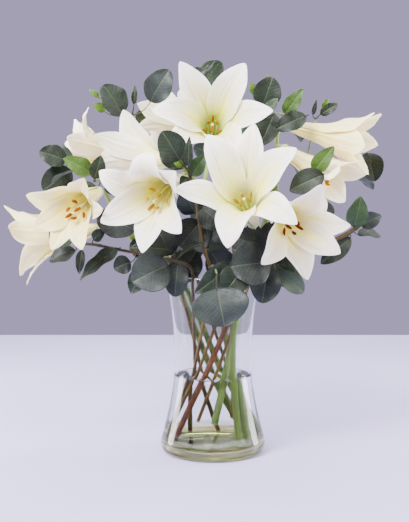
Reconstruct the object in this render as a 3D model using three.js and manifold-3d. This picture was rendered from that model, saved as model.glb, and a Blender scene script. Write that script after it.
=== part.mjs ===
// White trumpet lilies and eucalyptus in a waisted glass vase, part filled with water.
// Millimetres and degrees, +Z up. The origin is the centre of the vase's foot, and -Y is the front.
import * as THREE from "three";
import { mergeVertices } from "three/addons/utils/BufferGeometryUtils.js";
import Module from "manifold-3d";

const wasm = await Module();
wasm.setup();

// ---- Driving dimensions -------------------------------------------------------------------------

const VASE = { height: 226, foot: 60, base: 66, waist: 48, rim: 62, wall: 3, floor: 11, sides: 22 };
const WAIST_HEIGHT = 120;
const HEEL_HEIGHT = 14;
const WATER_LEVEL = 98;
const GAP = 0.3;

const TEPAL = { length: 138, thickness: 1.1, outerHalf: 19.5, innerHalf: 22.5 };
const INNER_GRID = [[0, 0.22, 0.45, 0.66, 0.87, 1], 4];
const OUTER_GRID = [[0, 0.27, 0.54, 0.82, 1], 2];
const TEPAL_GRIDS = [INNER_GRID, OUTER_GRID];
const TUBE = { radius: 5.2, lean: 9, whorlOffset: 1.2 };
const RECEPTACLE = { radius: 7.2, from: -4, to: 1.5, sides: 8 };

const STAMEN = { radius: 0.8, splay: 7, anther: 15, antherRadius: 2 };
const STYLE = { radius: 1, stigma: 2.8, beyond: 9 };
const BOSS = { radius: 2.8, from: RECEPTACLE.to + GAP, to: 6 };

const LILY_STEM = { radius: 4, sides: 6 };
const PEDICEL = { radius: 3, sides: 5 };
const WOODY_STEM = { radius: 2.1, sides: 5 };
const TWIG = { radius: 1.4, sides: 4 };
const STALK_HALF = 1;
const STEM_STEP = 32;
const TWIG_STEP = 18;

// The stems lean on one another as straight lines that turn about the vase's axis.
const SHEAF = { waist: 23, slope: 0.42, top: 212, rim: 237, rimSpread: 1.1 };

const LEAF = { thickness: 0.9, arch: 0.1, cup: 0.16 };
const LEAF_ROWS = { large: [-1, -0.3, 0.2, 0.5, 0.8, 1], small: [-1, -0.3, 0.5, 1], smallest: 27 };
const LEAF_CLEAR = { petal: 7, leaf: 6, stem: 4.5 };
const VASE_CLEAR = { above: 3, beside: 5 };

const COLOURS = {
  glass: { color: 0xe8f0f0, roughness: 0.05, opacity: 0.35, transparent: true },
  water: { color: 0xdfe8e2, roughness: 0.02, opacity: 0.5, transparent: true },
  petal: { color: 0xf3efe6, roughness: 0.55 },
  stamen: { color: 0xd98a1e, roughness: 0.8 },
  lilyStem: { color: 0x7d9a55, roughness: 0.5 },
  eucalyptus: { color: 0x5d7566, roughness: 0.6 },
};

// ---- Arrangement: lilies ------------------------------------------------------------------------

// A bloom's base, the way it faces (azimuth from the front towards +X, then elevation), the angle of
// its first tepal, clockwise from the top as seen from in front of it, and its six tepals in turn.
// The even tepals are the broad inner ones. Each is [angle, spread, curl]: the angle its free part
// takes, how far it opens from the bloom's axis, and how much more its end rolls back. Below their
// free parts they all open alike, by the bloom's funnel angle. Stamens are [reach, sag].
const BLOOMS = {
  crown: {
    base: [-1, 44, 386], face: [0, 24], turn: 34, funnel: 34, stamens: [54, 2],
    tepals: [[34, 42, 35], [94, 40, 35], [155, 34, 50], [226, 42, 40], [268, 44, 40], [326, 38, 30]],
  },
  front: {
    base: [49, -35, 291], face: [-14, 32], turn: -58, funnel: 44, stamens: [54, 2],
    tepals: [[-36, 45, 35], [6, 54, 35], [54, 50, 35], [122, 60, 60], [184, 52, 60], [256, 42, 18]],
  },
  heart: {
    base: [-42, -5, 343], face: [-20, -10], turn: 10, funnel: 27, stamens: [72, 8],
    tepals: [[0, -12, 190], [52, 8, 60], [128, 25, 35], [184, 26, 35], [244, 30, 35], [296, 22, 100]],
  },
  west: {
    base: [-143, 6, 327], face: [-20, -12], turn: 28, funnel: 26, size: 0.81, stamens: [62, 6],
    tepals: [[36, 24, 50], [84, 26, 35], [158, 26, 35], [206, 30, 35], [244, 30, 35], [288, 28, 70]],
  },
  westLow: {
    base: [-144, 22, 280], face: [-95, -9], turn: 10, funnel: 32, size: 0.9, stamens: [58, 3],
    tepals: [[10, 15, 30], [70, 32, 50], [130, 36, 45], [190, 30, 30], [250, 34, 40], [310, 18, 30]],
  },
  northWest: {
    base: [-107, 106, 364], face: [-80, 16], turn: 10, funnel: 30, size: 0.76, stamens: [54, 3],
    tepals: [[26, 48, 50], [84, 24, 30], [140, 4, 10], [200, 4, 10], [268, 36, 30], [306, 34, 45]],
  },
  westHigh: {
    base: [-56, -6, 364], face: [-149, 7], turn: 0, funnel: 32, size: 0.84, stamens: [56, 3],
    tepals: [[16, 38, 30], [68, 36, 50], [104, 38, 60], [176, 17, 30], [240, -5, 12], [300, 15, 30]],
  },
  east: {
    base: [74, 2, 314], face: [18, -17], turn: 15, funnel: 33, size: 0.9, stamens: [62, 5],
    tepals: [[15, 36, 35], [82, 24, 45], [118, 26, 45], [166, 36, 40], [230, 34, 40], [310, 21, 40]],
  },
  northEast: {
    base: [101, 52, 408], face: [70, -13], turn: 30, funnel: 26, size: 0.84, stamens: [66, 4],
    tepals: [[30, 24, 25], [90, 24, 30], [150, 16, 30], [210, 4, 30], [270, 14, 30], [330, 22, 25]],
  },
  eastHigh: {
    base: [90, 34, 380], face: [60, -30], turn: 0, funnel: 32, size: 0.78, stamens: [58, 3],
    tepals: [[0, 10, 40], [64, 10, 40], [120, 30, 40], [180, 24, 40], [240, 20, 40], [300, 18, 40]],
  },
  back: {
    base: [-4, 82, 398], face: [-124, 20], turn: 0, funnel: 32, size: 0.76, stamens: [58, 3],
    tepals: [[32, 30, 50], [78, 32, 40], [126, 26, 40], [180, 32, 40], [240, 32, 40], [310, 32, 40]],
  },
};

// Each lily stem carries two or three blooms on pedicels from the end of its path. A stem starts in
// the sheaf at an angle about the vase's axis, or follows a path of its own all the way. Its cut end
// stands on the vase's floor, or at the height `foot` in the water.
const LILY_STEMS = {
  west: { sheaf: 117, path: [[-80, 15, 252], [-106, 21, 272]], blooms: ["west", "westLow"] },
  northWest: { sheaf: 87, path: [[-54, 52, 266], [-60, 60, 306]], blooms: ["northWest", "back"] },
  centre: {
    sheaf: 27, path: [[-8, 54, 262], [-12, 50, 308]],
    blooms: ["crown", "heart", "westHigh"],
  },
  front: {
    path: [
      [32, -46, 13], [27, -37, 60], [24, -31, 118], [26, -35, 168], [35, -33, 222],
      [41, -24, 264],
    ],
    blooms: ["front", "east"],
  },
  northEast: {
    sheaf: -33, foot: 42, path: [[62, 48, 270], [82, 58, 335]],
    blooms: ["northEast", "eastHigh"],
  },
};

// ---- Arrangement: eucalyptus --------------------------------------------------------------------

// A branch's main stem, with a radius where it is stouter than most, its side twigs, and the leaves
// placed on it. A leaf is [base, tip, width, roll, shape]: roll turns it about its own length from
// facing the front, and a shape of 1 is round and a smaller one egg-shaped with its broad end at the
// base.
const BRANCHES = {
  west: {
    sheaf: 147, path: [[-80, -20, 250], [-115, -12, 256], [-150, -2, 262], [-172, 2, 262]],
    twigs: [[[-80, -20, 250], [-90, -18, 264], [-96, -18, 277]]],
    leaves: [
      [[-172, 2, 254], [-204, 0, 240], 28, 30, 0.8],
      [[-163, -3, 256], [-166, -8, 226], 12, 0, 0.8],
      [[-116, -14, 259], [-164, -20, 220], 20, 20, 0.7],
      [[-149, -5, 268], [-134, -10, 281], 16, 0, 0.8],
      [[-101, -28, 243], [-121, -34, 236], 24, 0, 0.9],
      [[-96, -20, 281], [-143, -14, 298], 44, 10, 0.9],
      [[-47, 1, 252], [-23, -12, 218], 39, 25, 1],
    ],
  },
  northWest: {
    sheaf: 57, path: [[-52, 80, 290], [-95, 66, 326], [-135, 38, 346], [-176, 22, 358]],
    twigs: [
      [[-62, 88, 304], [-78, 130, 362], [-106, 100, 424]],
      [[-130, 42, 344], [-140, 24, 342], [-147, 8, 340]],
    ],
    leaves: [
      [[-184, 16, 366], [-216, 8, 377], 28, 0, 0.9],
      [[-151, 3, 351], [-185, -4, 369], 24, 0, 0.7],
      [[-147, -6, 344], [-138, -10, 373], 20, 20, 0.8],
      [[-180, 30, 354], [-215, 28, 328], 36, -20, 0.9],
      [[-147, 12, 332], [-169, 6, 330], 16, 20, 0.8],
      [[-140, 16, 334], [-116, 6, 318], 26, 0, 0.8],
      [[-118, 78, 424], [-142, 72, 461], 38, 20, 0.9],
      [[-141, 74, 428], [-154, 72, 438], 12, 0, 0.9],
      [[-147, 72, 446], [-159, 70, 456], 7, 0, 0.8],
      [[-103, 88, 438], [-101, 86, 462], 8, 0, 0.7],
      [[-46, 52, 270], [-16, 44, 242], 48, 0, 1],
      [[-58, 76, 296], [-70, 40, 272], 46, -20, 1],
      [[-80, 84, 440], [-56, 78, 480], 37, 0, 0.9],
    ],
  },
  north: {
    sheaf: -3, foot: 48, path: [[24, 86, 280], [14, 110, 350], [0, 108, 410], [-17, 76, 466]],
    twigs: [[[18, 102, 330], [40, 84, 390], [60, 54, 424], [88, 50, 424], [108, 50, 418]]],
    leaves: [
      [[-30, 62, 468], [-8, 52, 480], 20, 0, 0.8],
      [[-14, 62, 472], [3, 58, 492], 8, 0, 0.7],
      [[62, 48, 432], [75, 40, 470], 36, 10, 1],
      [[66, 30, 424], [81, 18, 443], 15, 0, 0.8],
      [[91, 34, 424], [113, 25, 455], 20, 0, 0.7],
      [[78, 46, 424], [60, 34, 384], 30, 0, 0.9],
      [[116, 24, 421], [79, 20, 405], 25, 0, 0.9],
      [[56, 40, 448], [48, 36, 462], 12, 0, 0.9],
      [[68, 42, 462], [70, 38, 474], 7, 0, 0.8],
      [[18, 60, 304], [-28, 50, 288], 50, 0, 1],
      [[22, 44, 270], [-22, 34, 256], 52, 0, 1],
    ],
  },
  east: {
    sheaf: -63, foot: 44,
    path: [[86, 24, 268], [118, 60, 306], [156, 78, 335], [190, 78, 350], [205, 64, 364]],
    twigs: [
      [[118, 60, 306], [124, 88, 365], [134, 80, 418]],
      [[104, 42, 285], [113, 4, 322], [124, -28, 346]],
    ],
    leaves: [
      [[200, 60, 374], [209, 48, 338], 33, 0, 0.9],
      [[140, 74, 424], [161, 66, 437], 14, 0, 0.9],
      [[144, 72, 430], [150, 68, 444], 9, 0, 0.9],
      [[130, 74, 424], [133, 60, 443], 6, 0, 0.7],
      [[66, 10, 262], [34, 4, 262], 50, 0, 1],
      [[100, 38, 280], [116, 24, 246], 42, 0, 1],
      [[134, -30, 350], [93, -18, 330], 32, 0, 0.8],
      [[123, -36, 354], [146, -46, 384], 22, 0, 0.7],
    ],
  },
  southEast: {
    sheaf: -93, radius: 3.5, path: [[92, -8, 250], [135, 3, 260], [168, 2, 275], [186, 0, 290]],
    twigs: [],
    leaves: [
      [[175, -8, 284], [181, -22, 323], 27, 0, 0.8],
      [[184, 2, 286], [210, 0, 298], 22, 0, 0.8],
      [[172, 4, 270], [136, 10, 236], 26, 0, 0.8],
    ],
  },
  frontRight: {
    sheaf: -123, path: [[50, -58, 246], [70, -60, 249]],
    twigs: [],
    leaves: [
      [[68, -68, 246], [20, -84, 243], 54, 0, 1],
      [[66, -55, 260], [18, -50, 277], 34, 0, 0.9],
      [[74, -62, 252], [106, -60, 250], 28, 0, 0.9],
      [[74, -64, 244], [104, -74, 216], 38, 0, 0.9],
      [[66, -62, 240], [58, -72, 198], 38, 0, 0.9],
      [[80, -52, 232], [110, -50, 208], 24, 0, 0.9],
      [[36, -52, 240], [14, -58, 212], 36, 0, 0.9],
      [[60, -40, 250], [90, -30, 290], 40, 0, 1],
    ],
  },
  front: {
    sheaf: -153, path: [[-12, -50, 262], [-18, -38, 298], [-23, -34, 330], [-30, -60, 356]],
    twigs: [[[-5, -52, 240], [0, -64, 242], [4, -75, 234]]],
    leaves: [
      [[4, -78, 217], [13, -92, 174], 68, 0, 0.9],
      [[16, -66, 238], [-28, -80, 204], 28, -20, 0.8],
      [[-12, -52, 268], [-44, -62, 250], 14, 50, 0.8],
      [[-16, -40, 292], [-40, -52, 262], 40, 0, 0.9],
      [[-14, -36, 310], [12, -40, 286], 36, 0, 0.9],
      [[-40, -78, 368], [-60, -86, 402], 34, 0, 0.9],
      [[-30, -76, 362], [-28, -88, 396], 11, 0, 0.7],
      [[-26, -62, 350], [-9, -70, 374], 20, 0, 0.8],
      [[-30, -58, 346], [-40, -70, 338], 14, 0, 0.8],
      [[-38, -72, 360], [-47, -76, 368], 10, 0, 0.9],
      [[-8, -30, 280], [-34, 0, 258], 44, 0, 1],
      [[-2, -20, 300], [24, 0, 270], 46, 0, 1],
      [[-10, -20, 262], [10, 0, 232], 40, 0, 1],
    ],
  },
  frontLeft: {
    sheaf: 177, path: [[-50, -54, 248], [-68, -48, 248], [-82, -44, 242]],
    twigs: [],
    leaves: [
      [[-54, -60, 242], [-96, -78, 224], 50, 0, 1],
      [[-50, -52, 258], [-102, -58, 262], 20, 10, 0.8],
      [[-84, -44, 236], [-100, -46, 206], 24, 0, 0.8],
      [[-43, -54, 250], [-46, -60, 210], 30, 0, 0.9],
      [[-50, -40, 252], [-74, -30, 290], 42, 0, 1],
      [[-60, -30, 250], [-104, -20, 262], 34, 0, 0.9],
      [[-42, -33, 223], [-20, -33, 257], 39, 0, 1],
    ],
  },
};

// Leaves that fill the rest of each branch, in pairs along it.
const FILL = { from: 262, spacing: 84, length: [32, 44], share: 0.84, angle: 52, seed: 11 };

// ---- Helpers ------------------------------------------------------------------------------------

const radians = THREE.MathUtils.degToRad;
const vec = (p) => new THREE.Vector3(...p);
const mix = THREE.MathUtils.lerp;
const smooth = (x) => THREE.MathUtils.smoothstep(x, 0, 1);
const between = (a, b, t) => a.clone().lerp(b, t);

// Repeatable random numbers from 0 to 1.
function randomSource(seed) {
  let state = seed;
  return () => {
    state = (state * 16807) % 2147483647;
    return state / 2147483647;
  };
}

// A closed geometry as a manifold-3d solid.
function solidOf(geometry) {
  const bare = geometry.clone();
  bare.deleteAttribute("normal");
  bare.deleteAttribute("uv");
  const merged = mergeVertices(bare, 1e-4);
  return new wasm.Manifold(
    new wasm.Mesh({
      numProp: 3,
      vertProperties: merged.attributes.position.array,
      triVerts: new Uint32Array(merged.index.array),
    }),
  );
}

function meshOf(name, solid, finish) {
  const { vertProperties, triVerts } = solid.getMesh();
  const geometry = new THREE.BufferGeometry()
    .setAttribute("position", new THREE.BufferAttribute(vertProperties, 3))
    .setIndex(new THREE.BufferAttribute(triVerts, 1));
  geometry.computeVertexNormals();
  const mesh = new THREE.Mesh(geometry, new THREE.MeshStandardMaterial({ metalness: 0, ...finish }));
  mesh.name = name;
  return mesh;
}

const fuse = (solids) => solids.reduce((whole, next) => whole.add(next));

// A tube of constant radius along a curve, closed at both ends.
function tube(curve, { radius, sides }, stepLength) {
  const section = new THREE.Shape();
  for (let k = 0; k < sides; k += 1) {
    const angle = (2 * Math.PI * k) / sides;
    const corner = [radius * Math.cos(angle), radius * Math.sin(angle)];
    if (k === 0) section.moveTo(...corner);
    else section.lineTo(...corner);
  }
  const steps = stepsAlong(curve, stepLength);
  return solidOf(new THREE.ExtrudeGeometry(section, { extrudePath: curve, steps }));
}

const stepsAlong = (curve, stepLength) => Math.max(2, Math.round(curve.getLength() / stepLength));

const spline = (points) => new THREE.CatmullRomCurve3(points, false, "catmullrom", 0.5);

// A thin closed blade. point(u, v) gives its middle surface for u from 0 at the root to 1 at the tip
// and v from -1 to 1 across. Its two faces meet at the edge, and their triangles match.
function blade(point, thickness, stations, columns) {
  const rows = stations.length - 1;
  const start = stations[0];
  const position = [];
  const index = [];
  const step = 0.01;
  const put = (p) => position.push(...p.toArray()) / 3 - 1;
  const grids = [[], []];
  for (let i = 0; i <= rows; i += 1) {
    grids.forEach((grid) => grid.push([]));
    for (let j = 0; j <= columns; j += 1) {
      const [u, v] = [stations[i], (2 * j) / columns - 1];
      const middle = point(u, v);
      const onEdge = i > 0 && (j === 0 || j === columns);
      if (i === rows || onEdge) {
        const shared = i === rows && j > 0 ? grids[0][i][0] : put(middle);
        grids.forEach((grid) => grid[i].push(shared));
        continue;
      }
      const along = point(u + step, v).sub(point(Math.max(u - step, start), v));
      const across = point(u, Math.min(v + step, 1)).sub(point(u, Math.max(v - step, -1)));
      const normal = along.cross(across).normalize();
      grids.forEach((grid, side) => {
        const lift = (thickness / 2) * (side === 0 ? 1 : -1);
        grid[i].push(put(middle.clone().addScaledVector(normal, lift)));
      });
    }
  }
  const face = (a, b, c) => {
    if (a !== b && b !== c && c !== a) index.push(a, b, c);
  };
  grids.forEach((grid, side) => {
    for (let i = 0; i < rows; i += 1) {
      for (let j = 0; j < columns; j += 1) {
        const [a, b, c, d] = [grid[i][j], grid[i + 1][j], grid[i + 1][j + 1], grid[i][j + 1]];
        const halves = j < columns / 2 ? [[a, b, d], [b, c, d]] : [[a, b, c], [a, c, d]];
        for (const [p, q, r] of halves) {
          if (side === 0) face(p, q, r);
          else face(p, r, q);
        }
      }
    }
  });
  // The cut end at the root, and the short edges beside it.
  const [top, under] = grids;
  for (let j = 0; j < columns; j += 1) {
    face(top[0][j], top[0][j + 1], under[0][j]);
    face(top[0][j + 1], under[0][j + 1], under[0][j]);
  }
  face(top[0][0], under[0][0], top[1][0]);
  face(top[0][columns], top[1][columns], under[0][columns]);
  return new THREE.BufferGeometry()
    .setAttribute("position", new THREE.Float32BufferAttribute(position, 3))
    .setIndex(index);
}

// ---- Blooms -------------------------------------------------------------------------------------

// The bloom's own axes: forward along its tube, up, and right as seen from in front of it.
function bloomAxes({ face: [azimuth, elevation] }) {
  const [a, e] = [radians(azimuth), radians(elevation)];
  const forward = vec([Math.sin(a) * Math.cos(e), -Math.cos(a) * Math.cos(e), Math.sin(e)]);
  const right = vec([Math.cos(a), Math.sin(a), 0]);
  const up = forward.clone().cross(right);
  return { forward, up, right };
}

// The direction away from a bloom's axis at an angle clockwise from its top.
function outward({ up, right }, angle) {
  const turn = radians(angle);
  return up.clone().multiplyScalar(Math.cos(turn)).addScaledVector(right, Math.sin(turn));
}

// How far a tepal's midrib leans from the bloom's axis at u along it.
function midribLean(u, funnel, [, spread, curl]) {
  const opened = smooth((u - 0.24) / 0.42);
  const freed = smooth((u - 0.5) / 0.3);
  const rolled = smooth((u - 0.62) / 0.4);
  return radians(TUBE.lean + (funnel - TUBE.lean) * opened + (spread - funnel) * freed + curl * rolled);
}

const MIDRIB_STEPS = 48;

// The midrib as [distance from the bloom's axis, distance along it], for u along the tepal.
function midrib(length, funnel, tepal) {
  const points = [[TUBE.radius, 0]];
  const step = length / MIDRIB_STEPS;
  for (let i = 0; i <= MIDRIB_STEPS; i += 1) {
    const lean = midribLean((i + 0.5) / MIDRIB_STEPS, funnel, tepal);
    const [out, along] = points[i];
    points.push([out + step * Math.sin(lean), along + step * Math.cos(lean)]);
  }
  return (u) => {
    const i = Math.floor(u * MIDRIB_STEPS);
    const share = u * MIDRIB_STEPS - i;
    return [0, 1].map((k) => mix(points[i][k], points[i + 1][k], share));
  };
}

function tepalHalfWidth(u, widest, tubeRadius) {
  const peak = 0.66;
  const past = Math.min(1, Math.max(0, (u - peak) / (1 - peak)));
  const share = u < peak ? mix(0.3, 1, smooth(u / peak)) : (1 - past ** 2.4) ** 0.75;
  const roomInTube = 0.92 * (Math.PI / 3) * tubeRadius;
  return Math.min(widest * share, roomInTube);
}

// The middle surface of one tepal.
function tepalSurface(bloom, order) {
  const axes = bloomAxes(bloom);
  const size = bloom.size ?? 1;
  const tepal = bloom.tepals[order];
  const isInner = order % 2 === 0;
  const rootAngle = bloom.turn + 60 * order;
  const widest = (isInner ? TEPAL.innerHalf : TEPAL.outerHalf) * size;
  const openBend = 1 / (isInner ? 36 : 60);
  const flatFrom = isInner ? 0.5 : 0.3;
  const rib = midrib(TEPAL.length * size, bloom.funnel, tepal);
  const base = vec(bloom.base);
  return (u, v) => {
    const [out, along] = rib(u);
    const radius = out + (isInner ? -TUBE.whorlOffset : TUBE.whorlOffset);
    const half = tepalHalfWidth(u, widest, out);
    const outDirection = outward(axes, mix(rootAngle, tepal[0], smooth((u - 0.3) / 0.5)));
    const side = outDirection.clone().cross(axes.forward);
    // In the tube the tepal follows its circle, and further out it flattens to a shallow trough.
    const bend = mix(1 / radius, openBend, smooth((u - flatFrom) / 0.3));
    const arc = v * half * bend;
    const raised = (1 - Math.cos(arc)) / bend;
    const lean = midribLean(u, bloom.funnel, tepal);
    return base
      .clone()
      .addScaledVector(outDirection, radius - raised * Math.cos(lean))
      .addScaledVector(axes.forward, along + raised * Math.sin(lean))
      .addScaledVector(side, -Math.sin(arc) / bend);
  };
}

// A round plug along a bloom's axis.
function plug(bloom, { radius, from, to }, sides) {
  const { forward } = bloomAxes(bloom);
  const geometry = new THREE.CylinderGeometry(radius, radius, to - from, sides);
  geometry.applyQuaternion(new THREE.Quaternion().setFromUnitVectors(vec([0, 1, 0]), forward));
  const middle = vec(bloom.base).addScaledVector(forward, (from + to) / 2);
  geometry.translate(middle.x, middle.y, middle.z);
  return solidOf(geometry);
}

function bloomSolid(bloom) {
  const tepals = bloom.tepals.map((_, order) =>
    solidOf(blade(tepalSurface(bloom, order), TEPAL.thickness, ...TEPAL_GRIDS[order % 2])),
  );
  return fuse([plug(bloom, RECEPTACLE, RECEPTACLE.sides), ...tepals]);
}

// A closed three-sided spindle through the given points, with a radius at each.
function spindle(points, radii) {
  const sides = 3;
  const position = [];
  const index = [];
  const heading = points.at(-1).clone().sub(points[0]).normalize();
  const first = vec([heading.z, heading.x, heading.y]).cross(heading).normalize();
  points.forEach((p, i) => {
    for (let k = 0; k < sides; k += 1) {
      const spoke = first.clone().applyAxisAngle(heading, (2 * Math.PI * k) / sides);
      position.push(...p.clone().addScaledVector(spoke, radii[i]).toArray());
    }
  });
  const last = sides * (points.length - 1);
  for (let i = 0; i < last; i += sides) {
    for (let k = 0; k < sides; k += 1) {
      const [a, b] = [i + k, i + ((k + 1) % sides)];
      index.push(a, b, b + sides, a, b + sides, a + sides);
    }
  }
  index.push(0, 2, 1, last, last + 1, last + 2);
  return solidOf(
    new THREE.BufferGeometry()
      .setAttribute("position", new THREE.Float32BufferAttribute(position, 3))
      .setIndex(index),
  );
}

// Six filaments ending in their anthers, and the style ending in its stigma, on one boss.
function stamensSolid(bloom) {
  const axes = bloomAxes(bloom);
  const [reach, sag] = bloom.stamens;
  const at = (out, across, forward, drop) =>
    vec(bloom.base)
      .addScaledVector(out, across)
      .addScaledVector(axes.forward, forward)
      .add(vec([0, 0, -drop]));
  const pieces = [plug(bloom, BOSS, 5)];
  for (let k = 0; k < 6; k += 1) {
    const out = outward(axes, bloom.turn + 60 * k + 30);
    const length = reach * (k % 2 ? 0.95 : 1.05);
    const splay = length * Math.tan(radians(STAMEN.splay));
    const end = at(out, splay, length, sag);
    const lie = out.clone().multiplyScalar(k % 2 ? 0.5 : -0.2).add(axes.forward).normalize();
    const anther = [0.4, 1].map((share) => end.clone().addScaledVector(lie, STAMEN.anther * share));
    const [thin, thick] = [STAMEN.radius, STAMEN.antherRadius];
    pieces.push(spindle([at(out, 1.7, 4, 0), end, ...anther], [thin, thin, thick, 0.7]));
  }
  const tipOfStyle = at(axes.up, 0, reach + STYLE.beyond, sag);
  const path = [at(axes.up, 0, 3, 0), at(axes.up, 0, 0.5 * reach, 0), tipOfStyle];
  const stigma = tipOfStyle.clone().addScaledVector(axes.forward, STYLE.stigma);
  const { radius } = STYLE;
  pieces.push(spindle([...path, stigma], [radius, radius, radius, STYLE.stigma]));
  return fuse(pieces);
}

// ---- Vase and water -----------------------------------------------------------------------------

// The outer radius of the vase above its heel.
function vaseRadius(z) {
  if (z < WAIST_HEIGHT) {
    const fall = (z - HEEL_HEIGHT) / (WAIST_HEIGHT - HEEL_HEIGHT);
    return mix(VASE.base, VASE.waist, Math.sin((fall * Math.PI) / 2));
  }
  const rise = (z - WAIST_HEIGHT) / (VASE.height - WAIST_HEIGHT);
  return mix(VASE.waist, VASE.rim, rise ** 1.7);
}

const vaseHeights = [HEEL_HEIGHT, 44, 68, WATER_LEVEL, WAIST_HEIGHT, 158, 194, VASE.height];
const outerPoint = (z) => new THREE.Vector2(vaseRadius(z), z);
const innerPoint = (z, inset) => new THREE.Vector2(vaseRadius(z) - VASE.wall - inset, z);

function latheSolid(profile) {
  const geometry = new THREE.LatheGeometry(profile, VASE.sides);
  geometry.rotateX(Math.PI / 2);
  return solidOf(geometry);
}

function vaseSolid() {
  return latheSolid([
    new THREE.Vector2(0, 0),
    new THREE.Vector2(VASE.foot, 0),
    new THREE.Vector2(VASE.base - 1, HEEL_HEIGHT * 0.35),
    ...vaseHeights.map(outerPoint),
    ...vaseHeights.map((z) => innerPoint(z, 0)).reverse(),
    new THREE.Vector2(VASE.base - 8, VASE.floor),
    new THREE.Vector2(0, VASE.floor),
  ]);
}

function waterSolid(wetStems) {
  const bottom = VASE.floor + GAP;
  const body = latheSolid([
    new THREE.Vector2(0, bottom),
    new THREE.Vector2(VASE.base - 8 - GAP, bottom),
    ...vaseHeights.filter((z) => z <= WATER_LEVEL).map((z) => innerPoint(z, GAP)),
    new THREE.Vector2(0, WATER_LEVEL),
  ]);
  return wetStems.reduce((water, stem) => water.subtract(stem), body);
}

// ---- Stems --------------------------------------------------------------------------------------

// A point on the sheaf's straight line number `angle`, at height z.
function sheafPoint(angle, z) {
  const a = radians(angle);
  const rise = SHEAF.slope * (z - WAIST_HEIGHT);
  return vec([
    SHEAF.waist * Math.cos(a) - rise * Math.sin(a),
    SHEAF.waist * Math.sin(a) + rise * Math.cos(a),
    z,
  ]);
}

function stemPoints({ sheaf, path, foot }, radius) {
  if (sheaf === undefined) return path.map(vec);
  const onFloor = VASE.floor + GAP + radius * Math.sin(Math.atan(SHEAF.slope));
  const straight = [foot ?? onFloor, 62, 112, 162, SHEAF.top].map((z) => sheafPoint(sheaf, z));
  const rim = straight.at(-1).clone().multiplyScalar(SHEAF.rimSpread).setZ(SHEAF.rim);
  return [...straight, rim, ...path.map(vec)];
}

// A pedicel from the end of a stem to just under a bloom, arriving along the bloom's axis.
function pedicelCurve(points, bloom) {
  const [before, end] = points.slice(-2);
  const { forward } = bloomAxes(bloom);
  const target = vec(bloom.base).addScaledVector(forward, RECEPTACLE.from - GAP);
  const reach = end.distanceTo(target) * 0.4;
  const heading = end.clone().sub(before).normalize();
  return new THREE.CubicBezierCurve3(
    end.clone().addScaledVector(heading, -1),
    end.clone().addScaledVector(heading, reach),
    target.clone().addScaledVector(forward, -reach),
    target,
  );
}

// ---- Leaves -------------------------------------------------------------------------------------

// Half the breadth of a leaf at u, as a share of its most. A round leaf is fuller at its ends.
function leafOutline(u, shape) {
  const fullness = shape > 0.85 ? 0.52 : 0.7;
  return Math.sin(Math.PI * Math.min(u, 1) ** shape) ** fullness;
}

// The middle surface of a leaf: its blade for u from 0 to 1, and its stalk for u from -1, where it
// leaves the branch at `root`, to 0.
function leafSurface({ root, base, tip, width, facing, shape }) {
  const run = tip.clone().sub(base);
  const length = run.length();
  const along = run.clone().normalize();
  const normal = facing.clone().addScaledVector(along, -facing.dot(along)).normalize();
  const side = along.clone().cross(normal);
  const elbow = base.clone().addScaledVector(along, -0.4 * root.distanceTo(base));
  const stalk = new THREE.QuadraticBezierCurve3(root, elbow, base);
  return (u, v) => {
    if (u < 0) {
      const heading = stalk.getTangent(1 + u);
      const across = side.clone().addScaledVector(heading, -side.dot(heading)).normalize();
      return stalk.getPoint(1 + u).addScaledVector(across, STALK_HALF * v);
    }
    const half = Math.max((width / 2) * leafOutline(u, shape), STALK_HALF);
    const lift = LEAF.arch * length * 4 * u * (1 - u) + LEAF.cup * half * v * v;
    return base
      .clone()
      .addScaledVector(run, u)
      .addScaledVector(normal, lift)
      .addScaledVector(side, half * v * (u < 1 ? 1 : 0));
  };
}

function rollFacing(along, roll) {
  const front = vec([0, -1, 0.3]);
  const flat = front.addScaledVector(along, -front.dot(along)).normalize();
  return flat.applyAxisAngle(along, radians(roll));
}

// ---- Keeping leaves clear of what is already there ------------------------------------------------

const taken = [];

function take(points, kind, owner) {
  const stemOf = kind === "stem" ? owner : null;
  for (const p of points) taken.push({ p, clear: LEAF_CLEAR[kind], stemOf });
}

function gridPoints(surface, rows, columns, firstU) {
  const points = [];
  for (let i = 0; i <= rows; i += 1) {
    for (let j = 0; j <= columns; j += 1) {
      points.push(surface(mix(firstU, 1, i / rows) * 0.999, (2 * j) / columns - 1));
    }
  }
  return points;
}

function isAtGlass(p) {
  const fromWall = Math.hypot(p.x, p.y) - vaseRadius(Math.max(p.z, HEEL_HEIGHT));
  return p.z < VASE.height + VASE_CLEAR.above && Math.abs(fromWall) < VASE_CLEAR.beside;
}

function isClear(points, owner, share) {
  for (const p of points) {
    if (isAtGlass(p)) return false;
    for (const { p: q, clear, stemOf } of taken) {
      const room = clear * share;
      const isFar = Math.abs(p.x - q.x) > room || Math.abs(p.y - q.y) > room;
      if (stemOf !== owner && !isFar && p.distanceTo(q) < room) return false;
    }
  }
  return true;
}

// Shifts tried in turn for a leaf whose place is taken.
const NUDGES = [
  [0, 0, 0], [0, 6, 0], [0, -6, 0], [0, 12, 0], [0, -12, 0], [0, 0, 6], [0, 0, -6], [0, 20, 0],
  [0, -20, 0], [6, 8, 6], [-6, 8, 6], [6, -8, -6], [-6, -8, -6], [0, 28, 0], [0, 8, 12], [0, 8, -12],
];

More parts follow.
